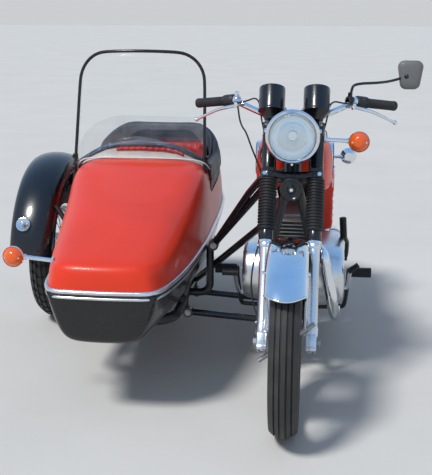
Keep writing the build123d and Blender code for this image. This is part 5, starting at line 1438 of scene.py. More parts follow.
def makeForkLegs():
    settings = forkSet
    leg = settings["leg"]
    mesh = bmesh.new()
    for side in (-1, 1):
        placing = legFrame(side)
        addTurned(mesh, [(0.0, 0.022), (leg + 0.001, 0.022), (leg + 0.0015, 0.030), (leg + 0.0015, 0.046),
                         (leg - 0.0005, 0.054), (leg - 0.001, 0.200), (leg, 0.290), (leg, 0.308),
                         (leg + 0.003, 0.310), (leg + 0.004, 0.312), (leg + 0.004, 0.323),
                         (leg + 0.003, 0.3255), (leg, 0.327), (leg, settings["legTop"]),
                         (0.0, settings["legTop"])], placing, 48)
        # Axle lug with its cap, four studs and a drain screw
        addBox(mesh, (0.034, 0.044, 0.056), placing @ Matrix.Translation((0, 0, 0.001)), 0.006, 0, 3)
        addBox(mesh, (0.030, 0.048, 0.016), placing @ Matrix.Translation((0, 0, -0.020)), 0.003, 0, 2)
        for along in (-0.017, 0.017):
            for across in (-0.010, 0.010):
                addBolt(mesh, placing @ Vector((across, along, -0.0285)), -forkUp, 0.004, 0.005, 1)
        addBolt(mesh, placing @ Vector((side * leg, 0.0, 0.062)), forkSide * side, 0.004, 0.004, 1)
        # The mudguard's boss half way up and its screw
        addRod(mesh, onLegs(side * 0.060, 0, 0.312), onLegs(side * legSide, 0, 0.312), 0.009, 0)
        addBolt(mesh, onLegs(side * (legSide + leg + 0.002), 0, 0.318), forkSide * side, 0.0045, 0.005, 1)
        addTurned(mesh, [(settings["axle"], 0.0), (0.0135, 0.0), (0.0135, 0.010), (settings["axle"], 0.012)],
                  basis(onLegs(side * (legSide + 0.0175), 0, 0), forkSide * side, forkUp), 6, 1)
    addRod(mesh, onLegs(-legSide - 0.032, 0, 0), onLegs(legSide + 0.032, 0, 0), settings["axle"], 1, 24)
    # Brake plate with ribs, cam spindle, lever and torque stop
    placing = basis(onLegs(-settings["plateFrom"], 0, 0), -forkSide, forkUp)
    drum = settings["drum"]
    addTurned(mesh, [(0.0, 0.0), (drum, 0.0), (drum, 0.004), (drum - 0.003, 0.006), (drum - 0.014, 0.0062),
                     (drum - 0.018, 0.0045), (drum - 0.030, 0.0045), (drum - 0.036, 0.0075), (0.022, 0.0078),
                     (0.018, 0.009), (0.0, 0.009)], placing, 72)
    for index in range(settings["plateRibs"]):
        turn = Matrix.Rotation(math.radians(360 / settings["plateRibs"] * index), 4, "Z")
        turn = placing @ turn @ Matrix.Translation((0.042, 0, 0.0062))
        addBox(mesh, (0.036, 0.0035, 0.0035), turn, 0.001)
    addRod(mesh, placing @ Vector((0.040, 0.040, 0.004)), placing @ Vector((0.040, 0.040, 0.0085)), 0.010)
    newPiece("forkLegs", mesh, ("polishedAlloy", "bareSteel"), "steering",
             ("fork_sliders",))


def makeBellows():
    settings = forkSet
    low, high, rib, root = (settings[key] for key in ("bellowsLow", "bellowsHigh", "rib", "ribRoot"))
    pitch = (high - low) / settings["ribs"]
    mesh = bmesh.new()
    for side in (-1, 1):
        placing = legFrame(side)
        profile = [(0.0205, settings["legTop"] + 0.001), (0.0232, settings["legTop"] + 0.001),
                   (0.0240, 0.337), (0.0240, low - 0.004), (0.0232, low - 0.002)]
        addTurned(mesh, profile, placing, 48, 1)
        addTurned(mesh, [(0.0225, 0.3255), (0.0252, 0.3262), (0.0256, 0.330), (0.0252, 0.3345),
                         (0.0225, 0.335)],
                  placing, 48, 2)
        shape = [(0.0215, low - 0.002), (0.0250, low - 0.001)]
        for index in range(settings["ribs"]):
            foot = low + index * pitch
            shape += [(root, foot + 0.05 * pitch), (rib - 0.0016, foot + 0.24 * pitch),
                      (rib, foot + 0.36 * pitch), (rib, foot + 0.52 * pitch),
                      (rib - 0.0016, foot + 0.64 * pitch), (root, foot + 0.88 * pitch)]
        shape += [(root - 0.0005, high - 0.001), (0.022, high)]
        addTurned(mesh, shape, placing, 48, 0)
        addTurned(mesh, [(0.0245, high - 0.001), (0.0272, high), (0.0276, high + 0.004),
                         (0.0272, high + 0.008), (0.0245, high + 0.009)], placing, 48, 1)
    newPiece("forkBellows", mesh, ("bellowsRubber", "blackPaint", "chromePlate"), "steering",
             ("fork_bellows",), sharp=50)


def yokeOutline(radius):
    # A rounded triangle round both legs and the stem, in the fork's across and back directions
    points = []
    for centre, start, end in (((legSide, legBack), -90, 35), ((0.0, 0.0), 45, 135),
                               ((-legSide, legBack), 145, 270)):
        points += arcPoints(centre, radius, start, end, 9)
    return points + [(-0.045, legBack - radius * 0.72), (-0.018, legBack - radius * 0.45),
                     (0.018, legBack - radius * 0.45), (0.045, legBack - radius * 0.72)]


def addPlate(mesh, outline, placing, low, high, bevel, material=0):
    # A flat plate from an outline of (x, y), with bevelled rims
    part = bmesh.new()
    face = part.faces.new([part.verts.new((x, y, low)) for x, y in outline])
    top = bmesh.ops.extrude_face_region(part, geom=[face])["geom"]
    bmesh.ops.translate(part, vec=(0, 0, high - low), verts=vertsOf(top))
    if bevel:
        rims = [edge for edge in part.edges if abs(edge.verts[0].co.z - edge.verts[1].co.z) < 1e-6]
        bmesh.ops.bevel(part, geom=rims, offset=bevel, segments=2, profile=0.5, affect="EDGES", material=-1)
    mergeInto(mesh, part, placing, material)


def makeYokes():
    settings = forkSet
    top, low, thick, cover = settings["topYoke"], settings["bellowsHigh"], settings["yoke"], settings["cover"]
    mesh = bmesh.new()
    across = basis(forkFoot, forkUp, forkSide)
    for height in (low + thick / 2, top):
        addPlate(mesh, yokeOutline(settings["yokeRadius"]), across, height - thick / 2, height + thick / 2,
                 0.003)
    for side in (-1, 1):
        placing = legFrame(side)
        # Cover with a pressed bead at both ends and the lamp's ear
        addTurned(mesh, [(0.022, low + 0.009), (cover, low + 0.010), (cover, low + 0.030),
                         (cover + 0.001, low + 0.032), (cover, low + 0.034), (cover, top - 0.036),
                         (cover + 0.001, top - 0.034), (cover, top - 0.032), (cover, top - 0.006),
                         (0.022, top - 0.005)], placing, 48)
        ear = basis(onLegs(side * 0.0845, -0.0545, 0.684), forkUp, forkSide)
        addBox(mesh, (0.005, 0.112, 0.032), ear, 0.002, 0, 2)
        addBolt(mesh, onLegs(side * 0.088, -0.100, 0.684), forkSide * side, 0.007, 0.006, 1)
        addTurned(mesh, [(0.0, top + 0.010), (0.019, top + 0.010), (0.020, top + 0.012), (0.020, top + 0.016),
                         (0.017, top + 0.019), (0.0, top + 0.019)], placing, 32, 1)
        addBolt(mesh, onLegs(side * (legSide + 0.012), -0.028, top), -forkBack, 0.005, 0.006, 1)
        addBolt(mesh, onLegs(side * (legSide + 0.012), -0.028, low + thick / 2), -forkBack, 0.005, 0.006, 1)
        # Bar clamp with two screws
        clamp = basis(onLegs(side * 0.032, 0.018, 0.771), forkUp, forkSide)
        addBox(mesh, (0.023, 0.036, 0.052), clamp, 0.005, 0, 3)
        addBox(mesh, (0.0235, 0.0365, 0.002), clamp @ Matrix.Translation((0, 0, 0.011)), 0, 1)
        for along in (-0.012, 0.012):
            addBolt(mesh, clamp @ Vector((0, along, 0.026)), forkUp, 0.0042, 0.006, 1)
        # Bracket of the instruments
        bracket = basis(onLegs(side * 0.075, -0.022, top + 0.012), forkUp, forkSide)
        addBox(mesh, (0.036, 0.066, 0.005), bracket, 0.002, 0, 2)
    addRod(mesh, onFork(0, 0, low), onFork(0, 0, top), 0.015)
    addTurned(mesh, [(0.0, top + 0.011), (0.020, top + 0.011), (0.020, top + 0.020), (0.017, top + 0.024),
                     (0.009, top + 0.027), (0.0, top + 0.0275)], basis(forkFoot, forkUp, forkSide), 6, 1)
    newPiece("forkYokes", mesh, ("blackPaint", "chromePlate"), "steering", ("fork_yokes",))


def makeHandlebar():
    mesh = bmesh.new()
    half = [(0.342, 0.114, 0.857), (0.272, 0.0717, 0.8474), (0.210, 0.0342, 0.8390), (0.197, 0.0262, 0.8336),
            (0.181, 0.0157, 0.8190), (0.172, 0.0145, 0.8140), (0.110, 0.0176, 0.7865), (0.096, 0.018, 0.782)]
    line = legLine(*half) + [onLegs(-u, v, w) for u, v, w in reversed(half)]
    addTube(mesh, line, forkSet["bar"], 0, 8, 3, False, 10)
    newPiece("handlebar", mesh, "chromePlate", "steering", ("handlebar",))


makeForkLegs()
makeBellows()
makeYokes()
makeHandlebar()
print("fork made")


# Wheels: rolled rims, a drum hub with cooling rings, crossed spokes and their nipples
wheelSet = {"rimHalf": 0.030, "sheet": 0.004, "depth": 0.016, "drum": 0.084, "hubHalf": 0.040,
            "spoke": 0.0017, "nipple": 0.0031, "spokes": 36, "crossing": 14, "valve": 0.0032, "bore": 0.008}


def makeWheel(name, hub, axle, radius, height):
    settings = wheelSet
    bead = radius - height
    half, sheet, inner = settings["rimHalf"], settings["sheet"], bead - settings["depth"]
    drum, hubHalf = settings["drum"], settings["hubHalf"]
    placing = basis(hub, axle, (0, 0, 1))
    mesh = bmesh.new()
    side = [(bead + 0.009, half + 0.001), (bead + 0.0095, half + 0.0025), (bead + 0.0085, half + 0.004),
            (bead + 0.004, half + 0.0038), (bead - 0.001, half + 0.0035), (bead - sheet, half + 0.0015),
            (bead - 0.006, half - 0.006), (inner + 0.004, half * 0.62), (inner, half * 0.42)]
    bed = [(bead - 0.001, -half), (bead - 0.001, half), (bead + 0.009, half + 0.001)]
    addTurned(mesh, side + [(r, -z) for r, z in reversed(side)] + bed, placing, 96)
    # Drum with rings between two flanges, and the bearing caps
    rings = []
    for index in range(7):
        z = -0.021 + index * 0.007
        rings += [(drum - 0.010, z - 0.0022), (drum - 0.004, z - 0.0012), (drum - 0.004, z + 0.0012),
                  (drum - 0.010, z + 0.0022)]
    shape = [(settings["bore"], -hubHalf), (0.022, -hubHalf), (0.024, -hubHalf + 0.001),
             (0.060, -hubHalf + 0.002), (drum - 0.012, -hubHalf + 0.001), (drum - 0.001, -hubHalf),
             (drum, -hubHalf + 0.002), (drum, -0.032), (drum - 0.001, -0.030), (drum - 0.010, -0.028)]
    addTurned(mesh, shape + rings + [(r, -z) for r, z in reversed(shape)], placing, 72, 1)
    for index in range(settings["spokes"]):
        out = 1 if index % 2 else -1
        angle = math.radians(index * 360 / settings["spokes"])
        turn = angle + math.radians(settings["crossing"] if index % 4 < 2 else -settings["crossing"])
        start = polar(drum - 0.003, angle, out * (hubHalf - 0.005))
        end = polar(inner + 0.003, turn, out * 0.006)
        addRod(mesh, placing @ start, placing @ end, settings["spoke"], 0, 8)
        addRod(mesh, placing @ end.lerp(start, 0.13), placing @ end, settings["nipple"], 2, 6)
        # The spoke's bent head in the flange
        addRod(mesh, placing @ (start + lifted(out * 0.0065)), placing @ (start - lifted(out * 0.002)),
               0.0032, 2, 8)
    # Valve stem and its cap
    for near, far, valve in ((0.002, -0.028, settings["valve"]), (-0.020, -0.030, settings["valve"] + 0.001)):
        addRod(mesh, placing @ Vector((0, inner + near, 0.004)), placing @ Vector((0, inner + far, 0.004)),
               valve, 2, 10)
    newPiece(name + "Wheel", mesh, ("chromePlate", "polishedAlloy", "bareSteel"), "wheel_" + name,
             (name + "_wheel",), sharp=40)


for name, hub, axle, radius, width, height, grooves, blocks in wheels:
    makeWheel(name, hub, axle, radius, height)
print("wheels made")


# Fuel tank, saddle, side panels
tankSet = {"cap": (0.567, 0.909), "padY": (0.575, 0.800), "padZ": (0.752, 0.868), "padCorner": 0.03,
           "padFrontCorner": 0.045, "padLow": 0.126, "padRidges": 9, "ridgePitch": 0.0105}
# columns: y, half width, bottom, top
tankRows = [
    (0.404, 0.098, 0.772, 0.842), (0.414, 0.110, 0.756, 0.862), (0.445, 0.122, 0.730, 0.892),
    (0.500, 0.134, 0.706, 0.908), (0.560, 0.141, 0.705, 0.911), (0.640, 0.141, 0.705, 0.910),
    (0.720, 0.137, 0.705, 0.905), (0.785, 0.122, 0.707, 0.893), (0.840, 0.107, 0.726, 0.850),
    (0.874, 0.098, 0.744, 0.818), (0.884, 0.088, 0.756, 0.806),
]


def tankSection(y, half, low, top):
    height = top - low
    points = [(0.036, low + 0.5 * height), (0.038, low), (half * 0.86, low), (half, low + 0.10 * height),
              (half, low + 0.42 * height), (half * 0.985, low + 0.66 * height),
              (half * 0.88, low + 0.88 * height), (half * 0.62, low + 0.985 * height), (half * 0.26, top),
              (0.0, top)]
    return bothSides([(x, y, z) for x, z in points], 0.0, -1)


def makeTank():
    mesh = bmesh.new()
    addRows(mesh, [tankSection(*row) for row in tankRows], closed=True)
    closeEnds(mesh)
    tank = newPiece("fuelTank", mesh, "redPaint", "root", ("fuel_tank",), sharp=180, levels=2)
    applyAll(tank)
    mesh = bmesh.new()
    y, z = tankSet["cap"]
    cap = basis(onBike(0, y, z), (0, 0, 1))
    addTurned(mesh, [(0.0, -0.004), (0.033, -0.004), (0.034, 0.0), (0.034, 0.012), (0.032, 0.016),
                     (0.026, 0.0195), (0.0, 0.0215)], cap, 48)
    for index in range(12):
        turn = math.radians(index * 30)
        addRod(mesh, cap @ polar(0.0335, turn, 0.001), cap @ polar(0.0335, turn, 0.012), 0.003, 0, 8)
    addTurned(mesh, [(0.034, -0.005), (0.041, -0.004), (0.042, -0.001), (0.034, 0.001)], cap, 48)
    # Knee pads with grip ridges in a bright frame
    yFrom, yTo = tankSet["padY"]
    zFrom, zTo = tankSet["padZ"]
    middle = ((yFrom + yTo) / 2, (zFrom + zTo) / 2)
    low = tankSet["padLow"]
    outline = []
    for signY, signZ, start in corners:
        corner = tankSet["padFrontCorner" if start == 90 else "padCorner"]
        centre = ((yTo if signY > 0 else yFrom) - signY * corner,
                  (zTo if signZ > 0 else zFrom) - signZ * corner)
        outline += arcPoints(centre, corner, start, start + 90, 6)
    for side in (-1, 1):
        for grow, high, material in ((0.004, 0.1405, 0), (0.0, 0.1435, 1)):
            grown = [(y + grow * (1 if y > middle[0] else -1), z + grow * (1 if z > middle[1] else -1))
                     for y, z in outline]
            part = bmesh.new()
            face = part.faces.new([part.verts.new(onBike(side * low, y, z)) for y, z in grown])
            # The pad follows the tank's narrowing towards the rear
            for vert in vertsOf(bmesh.ops.extrude_face_region(part, geom=[face])["geom"]):
                vert.co.x += side * (high - low) - side * max(0.0, (vert.co.y - frontY - 0.68)) * 0.12
            mergeInto(mesh, part, None, material)
        for index in range(tankSet["padRidges"]):
            z = zFrom + 0.018 + index * tankSet["ridgePitch"]
            addRod(mesh, onBike(side * 0.1428, yFrom + 0.016, z), onBike(side * 0.1302, yTo - 0.014, z),
                   0.0018, 1, 8)
        addBox(mesh, (0.003, 0.20, 0.006), atBike(side * 0.1405, 0.600, 0.728), 0.001, 0)
    newPiece("tankTrim", mesh, ("chromePlate", "bellowsRubber"), "root")
    # Fuel tap and pipe
    mesh = bmesh.new()
    tap = onBike(0.062, 0.720, 0.705)
    addRod(mesh, tap + lifted(0.006), tap - lifted(0.030), 0.008, 0, 6)
    addRod(mesh, tap + Vector((-0.002, 0, -0.020)), tap + Vector((0.030, 0, -0.020)), 0.006, 0)
    addBox(mesh, (0.006, 0.010, 0.034), Matrix.Translation(tap + Vector((0.030, 0, -0.030))), 0.002, 0)
    addTube(mesh, [tap - lifted(0.028), tap - Vector((0.004, 0, 0.060)), onBike(0.046, 0.735, 0.600),
                   onBike(0.034, 0.742, 0.570)], 0.0042, 1)
    newPiece("fuelTap", mesh, ("bareSteel", "blackPlastic"), "root")


saddleSet = {"low": 0.744, "foot": 0.726, "ribFrom": 0.93, "ribPitch": 0.034, "ribs": 15.5, "ribHalf": 0.098,
             "rib": 0.0045, "puff": 0.006, "moulding": 0.0038, "piping": 0.0028}


def makeSaddle():
    settings = saddleSet
    low, pitch = settings["low"], settings["ribPitch"]
    # columns: y, half width, top; the pad is swollen by the simulation and then sewn in ribs
    rows = [(0.897, 0.100, 0.806), (0.930, 0.112, 0.809), (1.040, 0.122, 0.806), (1.180, 0.125, 0.812),
            (1.330, 0.124, 0.819), (1.450, 0.122, 0.824), (1.492, 0.112, 0.815)]
    mesh = bmesh.new()
    skin = []
    for y, half, top in rows:
        points = [(half, low), (half + 0.002, 0.775), (half - 0.004, top - 0.012), (half * 0.84, top - 0.002),
                  (half * 0.4, top), (0.0, top)]
        skin.append(bothSides([(x, y, z) for x, z in points]))
    addRows(mesh, skin, closed=True)
    closeEnds(mesh)
    saddle = newPiece("saddle", mesh, "blackVinyl", "root", ("seat",), sharp=70)
    puff(saddle, 0.007, settings["puff"])

    def ribs(point, normal):
        along = (point.y - frontY - settings["ribFrom"]) / pitch
        outside = not 0.0 < along < settings["ribs"] or abs(point.x - bikeX) > settings["ribHalf"]
        if normal.z < 0.45 or outside:
            return 0.0
        return groove(abs(along - round(along)) * pitch, settings["rib"], settings["rib"])

    sew(saddle, ribs)
    # Base with a bright moulding, piping and a strap
    mesh = bmesh.new()
    outline = [(-0.112, 0.896), (0.112, 0.896), (0.126, 0.960), (0.129, 1.300), (0.126, 1.470),
               (0.100, 1.497), (-0.100, 1.497), (-0.126, 1.470), (-0.129, 1.300), (-0.126, 0.960)]
    addPlate(mesh, outline, atBike(0, 0, 0), settings["foot"], low, 0.002, 0)
    loop = [onBike(x, y, low + 0.002) for x, y in outline]
    addTube(mesh, loop, settings["moulding"], 1, 5, 3, True)
    piping = [onBike(x * 0.965, y, 0.798 + 0.012 * (y - 0.896)) for x, y in outline]
    addTube(mesh, piping, settings["piping"], 2, 5, 3, True)
    strap = [(-0.130, 0.740), (-0.130, 0.800), (-0.112, 0.8165), (-0.05, 0.8175), (0.05, 0.8175),
             (0.112, 0.8165), (0.130, 0.800), (0.130, 0.740)]
    addRows(mesh, [bikeLine((x, 1.136, z), (x, 1.164, z)) for x, z in strap], 2)
    newPiece("saddleTrim", mesh, ("blackPlastic", "chromePlate", "blackVinyl"), "root")


def makeSidePanels():
    mesh = bmesh.new()
    outline = [(0.903, 0.522), (0.941, 0.465), (1.025, 0.4575), (1.109, 0.451), (1.165, 0.521),
               (1.158, 0.605), (1.148, 0.687), (1.027, 0.688), (0.908, 0.688), (0.9055, 0.605)]
    middle = (1.03, 0.575)
    for side in (-1, 1):
        rows = []
        for depth, shrink in ((0.100, 0.0), (0.122, 0.003), (0.134, 0.008), (0.144, 0.020), (0.1495, 0.040),
                              (0.1505, 0.20), (0.1510, 0.55), (0.1512, 0.9)):
            rows.append([onBike(side * depth, y + (middle[0] - y) * shrink, z + (middle[1] - z) * shrink)
                         for y, z in outline])
        part = bmesh.new()
        addRows(part, rows, closed=True)
        closeEnds(part)
        bmesh.ops.subdivide_edges(part, edges=part.edges, cuts=1, use_grid_fill=True, smooth=0.6)
        mergeInto(mesh, part)
        knob = basis(onBike(side * 0.150, 1.03, 0.640), (side, 0, 0), (0, 1, 0))
        addTurned(mesh, [(0.0, 0.0), (0.013, 0.0), (0.013, 0.006), (0.011, 0.008), (0.0, 0.0085)],
                  knob, 24, 1)
        addBox(mesh, (0.003, 0.150, 0.008), atBike(side * 0.1515, 1.03, 0.560), 0.001, 1)
    newPiece("sidePanels", mesh, ("redPaint", "chromePlate"), "root", ("side_panels",))


makeTank()
makeSaddle()
makeSidePanels()
print("tank and saddle made")


# Engine: ribbed crankcase, finned cylinder, polished covers, carburettor and exhaust
engineSet = {"caseHalf": 0.098, "foot": (0.0, 0.622, 0.430), "tilt": 18, "fins": 13, "pitch": 0.0155,
             "fin": 0.004, "finX": 0.190, "finY": 0.172, "barrel": 0.048, "coverY": 0.715, "coverZ": 0.366,
             "coverRim": 0.022, "port": 0.0262, "portFins": 6}
portDirection = Vector((0.62, -0.78, -0.05)).normalized()
tilt = math.radians(engineSet["tilt"])
cylinderUp = Vector((0, -math.sin(tilt), math.cos(tilt)))
portFoot = onBike(*engineSet["foot"]) + cylinderUp * 0.088


def addSlice(mesh, outline, fromX, toX, bevel, material=0):
    # A slab between two x stations, from an outline of (y, z)
    placing = atBike(0, 0, 0) @ Matrix(((0, 0, 1, 0), (1, 0, 0, 0), (0, 1, 0, 0), (0, 0, 0, 1)))
    addPlate(mesh, outline, placing, fromX, toX, bevel, material)


def stadium(length, height, turn, inset):
    # Points of a slot's outline about (coverY, coverZ)
    radius = height / 2 - inset
    reach = (length - height) / 2
    points = arcPoints((reach, 0), radius, -90, 90, 15) + arcPoints((-reach, 0), radius, 90, 270, 15)
    cos, sin = math.cos(math.radians(turn)), math.sin(math.radians(turn))
    return [(y * cos - z * sin, y * sin + z * cos) for y, z in points]


def makeEngine():
    settings = engineSet
    half = settings["caseHalf"]
    mesh = bmesh.new()
    outline = [(0.503, 0.247), (0.516, 0.228), (0.548, 0.207), (0.72, 0.206), (0.903, 0.207), (0.933, 0.247),
               (0.925, 0.378), (0.90, 0.388), (0.757, 0.438), (0.64, 0.438), (0.522, 0.438), (0.503, 0.412)]
    addSlice(mesh, outline, -half, half, 0.008)
    for index in range(9):
        y = 0.575 + index * 0.034
        addBox(mesh, (0.15, 0.004, 0.012), atBike(0, y, 0.2075), 0.001)
    for index in range(5):
        addBox(mesh, (0.15, 0.012, 0.004), atBike(0, 0.5035, 0.29 + index * 0.024), 0.001)
    addBox(mesh, (0.004, 0.40, 0.006), atBike(0, 0.72, 0.439), 0)
    for y in (0.535, 0.900):
        for x in (-0.075, 0.075):
            addBolt(mesh, onBike(x, y, 0.437 if y < 0.7 else 0.385), (0, 0, 1), 0.006, 0.007, 1)
    addBolt(mesh, onBike(0.0, 0.66, 0.2065), (0, 0, -1), 0.009, 0.006, 1)
    # Carburettor: body, float bowl, slide cap, intake and the rubber to the air box
    addRod(mesh, onBike(0, 0.660, 0.556), onBike(0, 0.715, 0.558), 0.022, 0, 32)
    addRod(mesh, onBike(0, 0.703, 0.557), onBike(0, 0.709, 0.557), 0.033, 0, 32)
    addBox(mesh, (0.050, 0.056, 0.060), atBike(0, 0.742, 0.566), 0.010, 0, 3)
    addRod(mesh, onBike(0, 0.742, 0.500), onBike(0, 0.742, 0.540), 0.026, 0, 32)
    addRod(mesh, onBike(0, 0.742, 0.596), onBike(0, 0.742, 0.619), 0.021, 1, 32)
    addRod(mesh, onBike(0, 0.772, 0.560), onBike(0, 0.850, 0.566), 0.026, 2, 32)
    for x, y in ((-0.018, 0.725), (0.018, 0.725), (-0.018, 0.760), (0.018, 0.760)):
        addBolt(mesh, onBike(x, y, 0.501), (0, 0, -1), 0.003, 0.003, 1)
    newPiece("engineCase", mesh, ("castAlloy", "bareSteel", "bellowsRubber"), "root",
             ("engine_block",))

    mesh = bmesh.new()
    placing = basis(onBike(*settings["foot"]), cylinderUp, (1, 0, 0))
    addRod(mesh, placing @ lifted(0.010), placing @ lifted(0.205), settings["barrel"], 0, 48)
    addPlate(mesh, roundedBox(0.150, 0.134, 0.03), placing, 0.006, 0.018, 0.001)
    for index in range(settings["fins"]):
        shrink = 0.014 if index < 3 else 0.0
        low = 0.018 + index * settings["pitch"]
        addPlate(mesh, roundedBox(settings["finX"] - shrink, settings["finY"] - shrink, 0.026), placing, low,
                 low + settings["fin"], 0.001)
    # Rocker box with its screws and caps on top of the last fin
    addPlate(mesh, roundedBox(0.112, 0.120, 0.022), placing, 0.205, 0.222, 0.006)
    for x, y in ((-0.046, -0.046), (0.046, -0.046), (-0.046, 0.046), (0.046, 0.046), (0, 0)):
        addBolt(mesh, placing @ Vector((x, y, 0.219)), cylinderUp, 0.006, 0.0045, 1)
    for x, y in ((-0.070, -0.062), (0.070, -0.062), (-0.070, 0.062), (0.070, 0.062)):
        addRod(mesh, placing @ Vector((x, y, 0.012)), placing @ Vector((x, y, 0.206)), 0.0055, 1, 12)
    # Exhaust port with its finned clamp
    addRod(mesh, portFoot, portFoot + portDirection * 0.118, settings["port"], 0, 40)
    for index in range(settings["portFins"]):
        near = portFoot + portDirection * (0.076 + index * 0.0075)
        addRod(mesh, near, near + portDirection * 0.0032, 0.0335, 0, 40)
    # Spark plug with its cap and lead
    plug = placing @ Vector((-0.052, -0.020, 0.192))
    out = (Vector((-0.75, -0.25, 0)) + cylinderUp * 0.55).normalized()
    addRod(mesh, plug - out * 0.02, plug + out * 0.022, 0.008, 1, 6)
    addRod(mesh, plug + out * 0.020, plug + out * 0.052, 0.0085, 2, 24)
    addTube(mesh, [plug + out * 0.048, plug + out * 0.075, onBike(-0.085, 0.560, 0.700),
                   onBike(-0.040, 0.640, 0.725)],
            0.0036, 2)
    newPiece("engineCylinder", mesh, ("castAlloy", "bareSteel", "blackPlastic"), "root",
             ("engine_cylinder",))

    mesh = bmesh.new()
    # columns: side, length, height, turn, depth, shift, taper
    for side, length, height, turn, depth, shift, taper in ((1, 0.410, 0.246, 3, 0.098, 0.0, 6),
                                                            (-1, 0.350, 0.236, -6, 0.088, -0.035, 9)):
        slope = math.tan(math.radians(taper))
        rim = settings["coverRim"]
        steps = [(0.0, 0.0), (0.5 * (depth - rim), 0.5 * (depth - rim) * slope),
                 (depth - rim, (depth - rim) * slope)]
        for index in range(1, 6):
            angle = math.radians(18 * index)
            steps.append((depth - rim + rim * math.sin(angle), steps[2][1] + rim * (1 - math.cos(angle))))
        flat = steps[-1][1]
        steps += [(depth, flat + 0.010), (depth - 0.0025, flat + 0.013), (depth - 0.0025, flat + 0.030),
                  (depth - 0.001, flat + 0.036), (depth - 0.001, flat + 0.066)]
        rows = [[onBike(side * (half + reach), settings["coverY"] + shift + y, settings["coverZ"] + z)
                 for y, z in stadium(length, height, turn, inset)]
                for reach, inset in steps]
        part = bmesh.new()
        addRows(part, rows, closed=True)
        closeEnds(part)
        mergeInto(mesh, part)
        for y, z in stadium(length, height, turn, flat + 0.0065)[1::4]:
            addBolt(mesh, onBike(side * (half + depth - 0.001), settings["coverY"] + shift + y,
                                 settings["coverZ"] + z),
                    (side, 0, 0), 0.0042, 0.003, 1)
        addTurned(mesh, [(0.0, 0.0), (0.024, 0.0), (0.024, 0.004), (0.021, 0.006), (0.0, 0.006)],
                  basis(onBike(side * (half + depth - 0.002), settings["coverY"] + shift - 0.085,
                               settings["coverZ"]),
                        (side, 0, 0), (0, 1, 0)), 32, 1)
    newPiece("engineCovers", mesh, ("polishedAlloy", "bareSteel"), "root",
             ("engine_covers",))


exhaustSet = {"pipe": 0.021, "silencer": (0.172, 0.940, 0.218), "rise": 0.09}


def makeExhaust():
    mesh = bmesh.new()
    start = portFoot + portDirection * 0.122
    addTube(mesh, [portFoot + portDirection * 0.100, start, onBike(0.112, 0.472, 0.490),
                   onBike(0.120, 0.455, 0.460), onBike(0.149, 0.462, 0.330), onBike(0.151, 0.475, 0.305),
                   onBike(0.166, 0.560, 0.222), onBike(0.169, 0.600, 0.206), onBike(0.172, 0.900, 0.215),
                   onBike(0.172, 0.962, 0.219)], exhaustSet["pipe"], 0, 8)
    silencer = basis(onBike(*exhaustSet["silencer"]), (0, 1, exhaustSet["rise"]), (1, 0, 0))
    addTurned(mesh, [(0.0, 0.0), (0.0225, 0.0), (0.0235, 0.006), (0.0225, 0.012), (0.0265, 0.030),
                     (0.036, 0.095), (0.041, 0.125), (0.042, 0.132), (0.0412, 0.136), (0.0412, 0.640),
                     (0.042, 0.646), (0.041, 0.654), (0.038, 0.672), (0.026, 0.735), (0.022, 0.752),
                     (0.022, 0.760), (0.018, 0.760), (0.018, 0.730), (0.0, 0.730)], silencer, 64)
    for distance, radius in ((0.010, 0.0255), (0.630, 0.0435)):
        addRod(mesh, silencer @ lifted(distance), silencer @ lifted(distance + 0.014), radius, 1, 40)
    bracket = silencer @ lifted(0.637)
    addBox(mesh, (0.004, 0.026, 0.12), Matrix.Translation(bracket + Vector((-0.034, 0, 0.070))), 0.001, 1)
    addBolt(mesh, bracket + Vector((-0.031, 0, 0.118)), (1, 0, 0), 0.006, 0.006, 1)
    newPiece("exhaustPipe", mesh, ("chromePlate", "bareSteel"), "root", ("exhaust",))


makeEngine()
makeExhaust()
print("engine made")


# Rear of the motorcycle: mudguard, shock absorbers and foot controls
rearGuard = {"radius": 0.334, "half": 0.066, "drop": 0.046, "sheet": 0.0016, "roll": 0.004, "from": 14,
             "to": 142, "stayAt": 22, "stay": 0.005}


def makeRearMudguard():
    mesh = bmesh.new()
    settings = rearGuard
    start, turn = math.radians(settings["from"]), math.radians(settings["stayAt"])
    addGuard(mesh, rearHub, (1, 0, 0), (0, math.cos(start), math.sin(start)), settings)
    for side in (-1, 1):
        edge = rearHub + Vector((side * 0.067, 0.296 * math.cos(turn), 0.296 * math.sin(turn)))
        addTube(mesh, [edge, edge + Vector((side * 0.012, -0.05, 0.09)), onBike(side * 0.105, 1.440, 0.690)],
                settings["stay"])
        addBolt(mesh, edge + Vector((side * 0.003, 0, 0)), (side, 0, 0), 0.005, 0.005)
    addBox(mesh, (0.066, 0.010, 0.099), atBike(0, 1.483, 0.6475), 0.002)
    newPiece("rearMudguard", mesh, "chromePlate", "root", ("rear_mudguard",))


shockSet = {"foot": (0.128, 1.330, 0.332), "head": (0.128, 1.262, 0.690), "turns": 7, "steps": 16,
            "coil": 0.033, "wire": 0.004, "cover": 0.0372}


